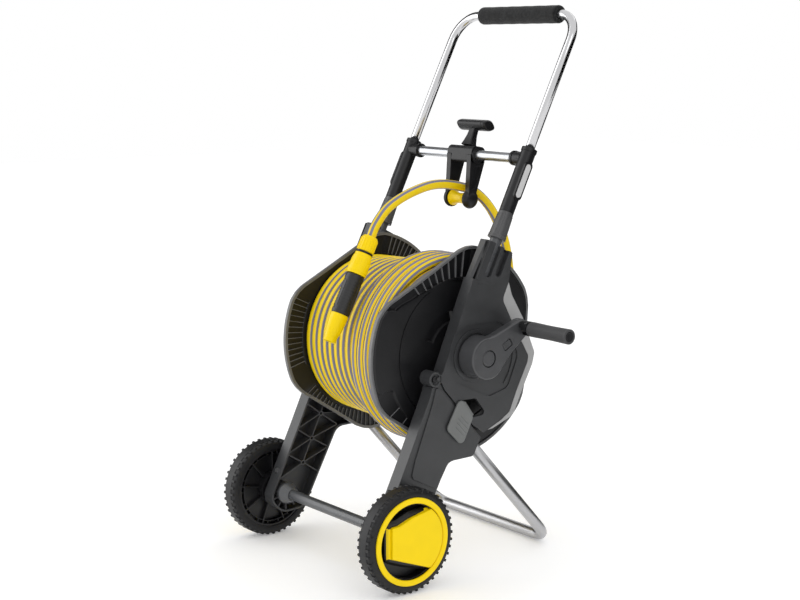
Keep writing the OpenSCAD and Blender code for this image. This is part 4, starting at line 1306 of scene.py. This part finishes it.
# ---- handle -------------------------------------------------------------------------------
def makeHandle():
    path = bentRoute(onHandle, 154, 48, barS - 150, barS, -1)
    addPiece("handleTube", pipe("handleTube", path, 8, 48), "tube_aluminium", "handle",
             ("handle_tube",))
    profile = [(8.2, 0.6), (11.5, 0), (13.6, 0.5), (14.9, 1.8), (15.5, 4)]
    for k in range(1, 40):
        d = 4 + 192 * k / 40
        profile.append((15.35 + 0.15 * math.sin(k * 0.9), d))
    profile += [(15.5, 196), (14.9, 198.2), (13.6, 199.5), (11.5, 200), (8.2, 199.4)]
    start = onHandle(-94, 0, barS)
    addPiece("foamGrip", shaped("foamGrip", [turned(profile, start, acrossX, 72)], bevel=0, smooth=60), "foam",
             "handle", ("foam_grip",))
    for side in (-1, 1):
        end = "Right" if side > 0 else "Left"
        node = "right" if side > 0 else "left"
        sleeve = shaped("sleeve" + end, [copyNode("sleeve_" + node)], bevel=0.7, steps=2, angle=40)
        addPiece("sleeve" + end, sleeve, "black_plastic", "upper_frame", ("sleeve_" + node,))
        body = "release_" + node
        slot = []
        for s0, a0 in ((179, 0), (131, 180)):
            for k in range(13):
                a = math.radians(a0 + 180 * k / 12)
                slot.append((5.6 * math.cos(a), s0 + 5.6 * math.sin(a)))
        mesh = shaped("releaseButton" + end, [plate(slot, 165.1, 168.3, mirrored(side, onHandle))], bevel=1.2, steps=3)
        addPiece("releaseButton" + end, mesh, "button_plastic", body, ("release_button_" + node,))
        # conical collar with upright ridges and a foot ring
        x = side * place["tubeX"]
        way = (onHandle(0, 0, 1) - onHandle(0, 0, 0)).normalized()
        cone = turned([(10.1, 50), (15, 50), (15.6, 50.6), (15.6, 52.6), (15.1, 53.2), (15.1, 54.2), (15.6, 54.8),
                       (15.5, 56.6), (14.6, 57.4), (12.5, 97.2), (12, 97.9), (10.1, 97.9)], onHandle(x, 0, 0), way, 72)
        ridgeSolid = ridgeOn(x, 58.5, 93, 14.35, 12.75)
        ridges = ringOf("ridges", shaped("ridge", [ridgeSolid], bevel=0.3, steps=1), "collar_plastic", 16,
                        onHandle(x, 0, 75), way)
        addPiece("tubeCollar" + end, joined("tubeCollar" + end, shaped("cone", [cone], bevel=0.3, steps=1), ridges),
                 "collar_plastic", "upper_frame", ("tube_collar_" + node,))


def ridgeOn(x, s0, s1, r0, r1):
    # a shallow upright ridge on the front of the cone
    bm = bmesh.new()
    rows = []
    for s, r in ((s0, r0), (s1, r1)):
        rows.append([bm.verts.new(onHandle(x + dx, -r + dt, s)) for dx, dt in
                     ((-1.2, 1.2), (-1.0, -0.5), (1.0, -0.5), (1.2, 1.2))])
    bm.faces.new(rows[0])
    bm.faces.new(list(reversed(rows[1])))
    for k in range(4):
        bm.faces.new((rows[0][k - 1], rows[0][k], rows[1][k], rows[1][k - 1]))
    bmesh.ops.recalc_face_normals(bm, faces=bm.faces)
    return bm


makeHandle()
print("handle made")


# ---- hose guide -----------------------------------------------------------------------------
guide = {"legIn": 21, "legOut": 32, "ball": 16.6, "grip": 37}


def makeGuide():
    y1, z1 = crossY, crossZ
    y2, z2 = place["roller"]
    block = rounded([(y1 - 17, z1 - 12, 6), (y1 + 14, z1 - 16, 7), (y1 + 17, z1 + 12, 9), (y1 - 13, z1 + 17, 9)])
    hubSolid = plate(block, -32, 32, at)
    bore = solidRod(11.3, -40, 40, y1, z1)
    mouths = [solidRod(14.6, x, x + 9.3, y1, z1) for x in (-40, 30.7)]
    arch = plate(disc(y1, z1 - 40, 16), -3, 3, at)
    arch.free()
    body = shaped("guideBlock", [hubSolid], [bore] + mouths, bevel=2.2, steps=3, angle=50)
    parts = [body]
    for side in (-1, 1):
        at2 = mirrored(side)
        outline = [(y1 - 16.5, z1 + 2), (y1 + 16, z1 + 2), (y1 + 15, z1 - 14), (y2 + 8.5, z2 + 10), (y2 + 7, z2),
                   (y2 - 7, z2), (y2 - 8.5, z2 + 10), (y1 - 16.5, z1 - 10)]
        groove = [(y1 - 8, z1 - 20), (y1 + 7, z1 - 21), (y2 + 3.6, z2 + 18), (y2 - 3.8, z2 + 18)]
        parts.append(shaped("guideLeg", [plate(rounded([(*p, 2) for p in outline], 3), guide["legIn"], guide["legOut"], at2)],
                            [plate(rounded([(*p, 2) for p in groove], 3), guide["legOut"] - 2.6, 40, at2),
                             solidRod(11.3, -40, 40, y1, z1), solidRod(3.05, -40, 40, y2, z2)], bevel=1.4, steps=3))
        ball = guide["ball"]
        profile = [(0, guide["legOut"] + 2.2)]
        for k in range(1, 15):
            a = math.pi / 2 * k / 14
            profile.append((ball * math.sin(a), guide["legIn"] + 3.2 + 10 * math.cos(a)))
        profile += [(ball - 0.6, guide["legIn"] + 0.4), (ball - 2, guide["legIn"]), (3.05, guide["legIn"]),
                    (3.05, guide["legOut"] - 1), (0, guide["legOut"] - 1)]
        parts.append(shaped("guideBall", [turned(profile, at2(0, y2, z2), acrossX * side, 56)], bevel=0.3, steps=1))
    addPiece("guideFork", joined("guideFork", *parts), "black_plastic", "guide", ("guide_fork",))
    # stem and cross handle lean three degrees less than the tubes
    tiltBack = math.radians(place["lean"] - 3)

    def onStem(x, t, s):
        return at(x, y1 + s * math.sin(tiltBack) + t * math.cos(tiltBack),
                  z1 + s * math.cos(tiltBack) - t * math.sin(tiltBack))

    bm = bmesh.new()
    rows = []
    for s, halfX, halfT in ((15.5, 12.5, 9), (22, 10.5, 7.6), (34, 8, 6.2), (48, 6.8, 5.6)):
        corners = rounded([(-halfX, -halfT, 2.5), (halfX, -halfT, 2.5), (halfX, halfT, 2.5), (-halfX, halfT, 2.5)], 3)
        rows.append([bm.verts.new(onStem(x, t, s)) for x, t in corners])
    for first, second in zip(rows, rows[1:]):
        for k in range(len(first)):
            bm.faces.new((first[k - 1], first[k], second[k], second[k - 1]))
    bm.faces.new(rows[0])
    bm.faces.new(list(reversed(rows[-1])))
    bmesh.ops.recalc_face_normals(bm, faces=bm.faces)
    stem = shaped("stem", [bm], bevel=0.4, steps=1)
    bm = bmesh.new()
    rows = []
    half = guide["grip"]
    for x, k in ((-half, 0.8), (-half + 1.2, 0.92), (-half + 3.5, 1), (half - 9.4, 1), (half - 9, 0.96), (half - 8.4, 0.96),
                 (half - 8, 1), (half - 3.5, 1), (half - 1.2, 0.92), (half, 0.8)):
        ring = []
        for i in range(40):
            a = 2 * math.pi * i / 40
            # a soft lozenge section
            flat = 1 + 0.05 * math.cos(4 * a)
            ring.append(bm.verts.new(onStem(x, 13.4 * k * flat * math.cos(a), 54 + 9.1 * k * flat * math.sin(a))))
        rows.append(ring)
    for first, second in zip(rows, rows[1:]):
        for i in range(40):
            bm.faces.new((first[i - 1], first[i], second[i], second[i - 1]))
    bm.faces.new(rows[0])
    bm.faces.new(list(reversed(rows[-1])))
    bmesh.ops.recalc_face_normals(bm, faces=bm.faces)
    bar = shaped("bar", [bm], bevel=0.5, steps=2, angle=40)
    addPiece("guideHandle", joined("guideHandle", stem, bar), "black_plastic", "guide",
             ("guide_handle",))
    profile = [(3.1, 0), (13.2, 0), (14, 0.8)]
    for k in range(1, 20):
        x = 39 * k / 20
        profile.append((9 + 4.7 * abs((x - 19.5) / 19.5) ** 2.2, x))
    profile += [(14, 38.2), (13.2, 39), (3.1, 39)]
    roller = shaped("guideRoller", [turned(profile, at(-19.5, y2, z2), acrossX, 64)], bevel=0, smooth=50)
    addPiece("guideRoller", roller, "yellow_plastic", "guide_roller", ("guide_roller",))


makeGuide()
print("guide made")


# ---- fittings on the hose end -------------------------------------------------------------------
fitting = {"way": (0, -0.46, -0.888), "nut": 0.05, "coupling": 31.1, "barrel": 68.15, "tip": 138.2}


def onSpray(distance):
    start = at(*freeRoute[-1])
    return start + Vector(fitting["way"]).normalized() * distance / 1000


def sprayRibs(name, count, d0, d1, r0, r1, width, height, material):
    # ridges along the fitting, set round it
    way = Vector(fitting["way"]).normalized()
    side = acrossX
    out = way.cross(side).normalized()
    bm = bmesh.new()
    rows = []
    for d, r in ((d0, r0), (d1, r1)):
        centre = onSpray(d)
        rows.append([bm.verts.new(centre + side * a / 1000 + out * (r + b) / 1000) for a, b in
                     ((-width / 2, -1), (-width / 2 * 0.7, height), (width / 2 * 0.7, height), (width / 2, -1))])
    bm.faces.new(rows[0])
    bm.faces.new(list(reversed(rows[1])))
    for k in range(4):
        bm.faces.new((rows[0][k - 1], rows[0][k], rows[1][k], rows[1][k - 1]))
    bmesh.ops.recalc_face_normals(bm, faces=bm.faces)
    return ringOf(name, shaped(name, [bm], bevel=0.35, steps=2), material, count, onSpray((d0 + d1) / 2), way)


def turnedFitting(name, offset, profile, extras=(), smooth=40):
    way = Vector(fitting["way"]).normalized()
    body = turned([(r, d + offset) for r, d in profile], onSpray(0), way, 72)
    return joined(name, shaped(name, [body], bevel=0.4, steps=2, smooth=smooth), *extras)


def makeFittings():
    made = []
    nut = turnedFitting("hoseNut", fitting["nut"], [
        (0, 0), (11.2, 0), (11.5, 0.6), (13.4, 3), (14.1, 5), (14.2, 26), (13.4, 27), (12.2, 27.2), (12.2, 31),
        (0, 31)], [sprayRibs("nutRibs", 18, 5, 25.4, 14, 14.2, 2.6, 0.75, "yellow_plastic")])
    made.append(addPiece("hoseNut", nut, "yellow_plastic", "guide_carriage", ("hose_nut",)))
    band = turnedFitting("hoseBand", 0, [(12, 27.4), (14.2, 27.6), (14.6, 28.4), (14.6, 30.6), (12, 30.9)])
    made.append(addPiece("hoseBand", band, "black_plastic", "guide_carriage"))
    coupling = turnedFitting("hoseCoupling", fitting["coupling"], [
        (0, 0), (14.2, 0), (14.6, 0.5), (14.8, 5), (15.6, 6), (16.6, 18), (17.3, 29), (17.3, 32), (16.7, 33),
        (16.7, 34), (17.1, 34.6), (16.9, 36.6), (0, 37)],
        [sprayRibs("couplingRibs", 20, 39.5, 52, 15.6, 16.6, 2.2, 0.55, "yellow_plastic")])
    made.append(addPiece("hoseCoupling", coupling, "yellow_plastic", "guide_carriage",
                         ("hose_coupling",)))
    rings = []
    for k in range(9):
        d = 14 + 5.2 * k
        rings += [(15.1, d), (15.5, d + 0.8), (15.5, d + 2.6), (15.1, d + 3.4)]
    barrel = turnedFitting("nozzleBarrel", fitting["barrel"], [
        (0, 0), (14.4, 0), (15.3, 1), (15.75, 3), (15.75, 9), (15.3, 10), (15.1, 12)] + rings + [
        (15.1, 62), (15.7, 63), (15.7, 66), (14.9, 69), (14.2, 70), (0, 70)])
    pads = [sprayRibs("barrelPads", 3, 82, 126, 15, 15, 9, 0.75, "black_plastic")]
    made.append(addPiece("nozzleBarrel", joined("nozzleBarrel", barrel, *pads), "barrel_plastic", "guide_carriage",
                         ("nozzle_barrel",)))
    tip = turnedFitting("nozzleTip", fitting["tip"], [
        (0, 0), (14.3, 0), (15, 1), (15.2, 3), (15, 12), (12.7, 33.2), (11.2, 36), (11.2, 38.4), (11, 39), (11, 47.2),
        (10.4, 47.9), (8.6, 47.9), (8.2, 47.2), (8.2, 40), (0, 40)],
        [sprayRibs("tipRibs", 16, 142.5, 168, 14.6, 12.6, 2.4, 0.7, "yellow_plastic")])
    made.append(addPiece("nozzleTip", tip, "yellow_plastic", "guide_carriage", ("nozzle_tip",)))
    spray = turnedFitting("nozzleFace", fitting["tip"], [(0, 40.2), (7.9, 40.2), (7.9, 44), (6.6, 45.4), (0, 45.8)])
    addPiece("nozzleFace", spray, "black_plastic", "guide_carriage")
    return made


fittings = makeFittings()
print("fittings made")


# ---- small parts that keep their shape ------------------------------------------------------------
keepers = [
    ("inlet_elbow", "upper_frame", "frame_plastic", "frame_plastic", 0.8),
    ("guide_bush", "guide_carriage", "black_plastic", "black_plastic", 0.5),
    ("axle_clips", "undercarriage", "steel", "steel", 0.2),
]
bodiesOf = frame["record"]["behaviour"]["bodies"]
for nodeName, body, material, slotName, width in keepers:
    body = next(b for b, held in bodiesOf.items() if nodeName in held)
    words = nodeName.split("_")
    pieceName = words[0] + "".join(w.capitalize() for w in words[1:])
    addPiece(pieceName, shaped(pieceName, [copyNode(nodeName)], bevel=width), material, body, (nodeName,))
print("small parts made")


# ---- stage --------------------------------------------------------------------------------
def makeStage():
    light = {"floor": (0.9, 0.9, 0.9), "size": 9.0}
    mesh = bpy.data.meshes.new("floor")
    h = light["size"]
    mesh.from_pydata([(-h, -h, 0), (h, -h, 0), (h, h, 0), (-h, h, 0)], [], [(0, 1, 2, 3)])
    floor = bpy.data.objects.new("floor", mesh)
    floor.location = (0, 0, -0.0005)
    scene.collection.objects.link(floor)
    material, tree, shader = shaderOf("paleFloor")
    shader.inputs["Base Color"].default_value = (*light["floor"], 1)
    shader.inputs["Roughness"].default_value = 0.65
    shader.inputs["Emission Color"].default_value = (1, 1, 1, 1)
    shader.inputs["Emission Strength"].default_value = 0.2
    mesh.materials.append(material)
    scene.view_settings.view_transform = "Standard"
    world = bpy.data.worlds.new("studio")
    scene.world = world
    world.use_nodes = True
    world.node_tree.nodes["Background"].inputs["Color"].default_value = (1, 1, 1, 1)
    world.node_tree.nodes["Background"].inputs["Strength"].default_value = 1.0
    lamps = [
        ("key", (-1.6, -2.0, 2.6), 1.2, 9), ("side", (2.4, -0.6, 2.4), 0.9, 5), ("rear", (-0.6, 2.4, 2.0), 1.2, 4),
    ]
    for name, spot, size, power in lamps:
        data = bpy.data.lights.new(name, "AREA")
        data.size = size
        data.energy = power
        lamp = bpy.data.objects.new(name, data)
        lamp.location = spot
        lamp.rotation_mode = "QUATERNION"
        lamp.rotation_quaternion = (Vector((0, 0, 0.4)) - Vector(spot)).to_track_quat("-Z", "Y")
        scene.collection.objects.link(lamp)
    # cards that only gloss sees: black ones darken the side faces and edge the bright tubes, a
    # bright one lights the front faces. turn is measured from the camera's side, in degrees
    cards = [
        {"turn": 78, "width": 2.6, "near": 1.9, "far": 1.9, "top": 1.5, "light": 0.0},
        {"turn": -102, "width": 1.7, "near": 2.0, "far": 2.0, "top": 2.0, "light": 2.6},
        {"turn": -148, "width": 2.4, "near": 2.0, "far": 2.0, "top": 2.6, "light": 0.0},
        {"turn": 138, "width": 1.7, "near": 1.9, "far": 1.9, "top": 1.7, "light": 0.0},
        {"turn": 128, "width": 1.5, "near": 0.7, "far": 1.9, "top": 0.02, "light": 0.0},
    ]
    for k, card in enumerate(cards):
        paint, tree, shader = shaderOf("card" + str(k))
        shader.inputs["Base Color"].default_value = (0.002, 0.002, 0.002, 1)
        shader.inputs["Roughness"].default_value = 1.0
        shader.inputs["Specular IOR Level"].default_value = 0.0
        shader.inputs["Emission Color"].default_value = (1, 1, 1, 1)
        shader.inputs["Emission Strength"].default_value = card["light"]
        a = math.radians(52.08 - 90 + card["turn"])
        way = Vector((math.cos(a), math.sin(a), 0))
        across = Vector((-math.sin(a), math.cos(a), 0)) * card["width"] / 2
        mesh = bpy.data.meshes.new("card")
        low, high = way * card["near"] + Vector((0, 0, 0.01)), way * card["far"] + Vector((0, 0, card["top"]))
        mesh.from_pydata([low - across, low + across, high + across, high - across], [], [(0, 1, 2, 3)])
        mesh.materials.append(paint)
        thing = bpy.data.objects.new("card" + str(k), mesh)
        scene.collection.objects.link(thing)
        thing.visible_camera = False
        thing.visible_diffuse = False
        thing.visible_shadow = False
        thing.visible_transmission = False


makeStage()
print("stage made")
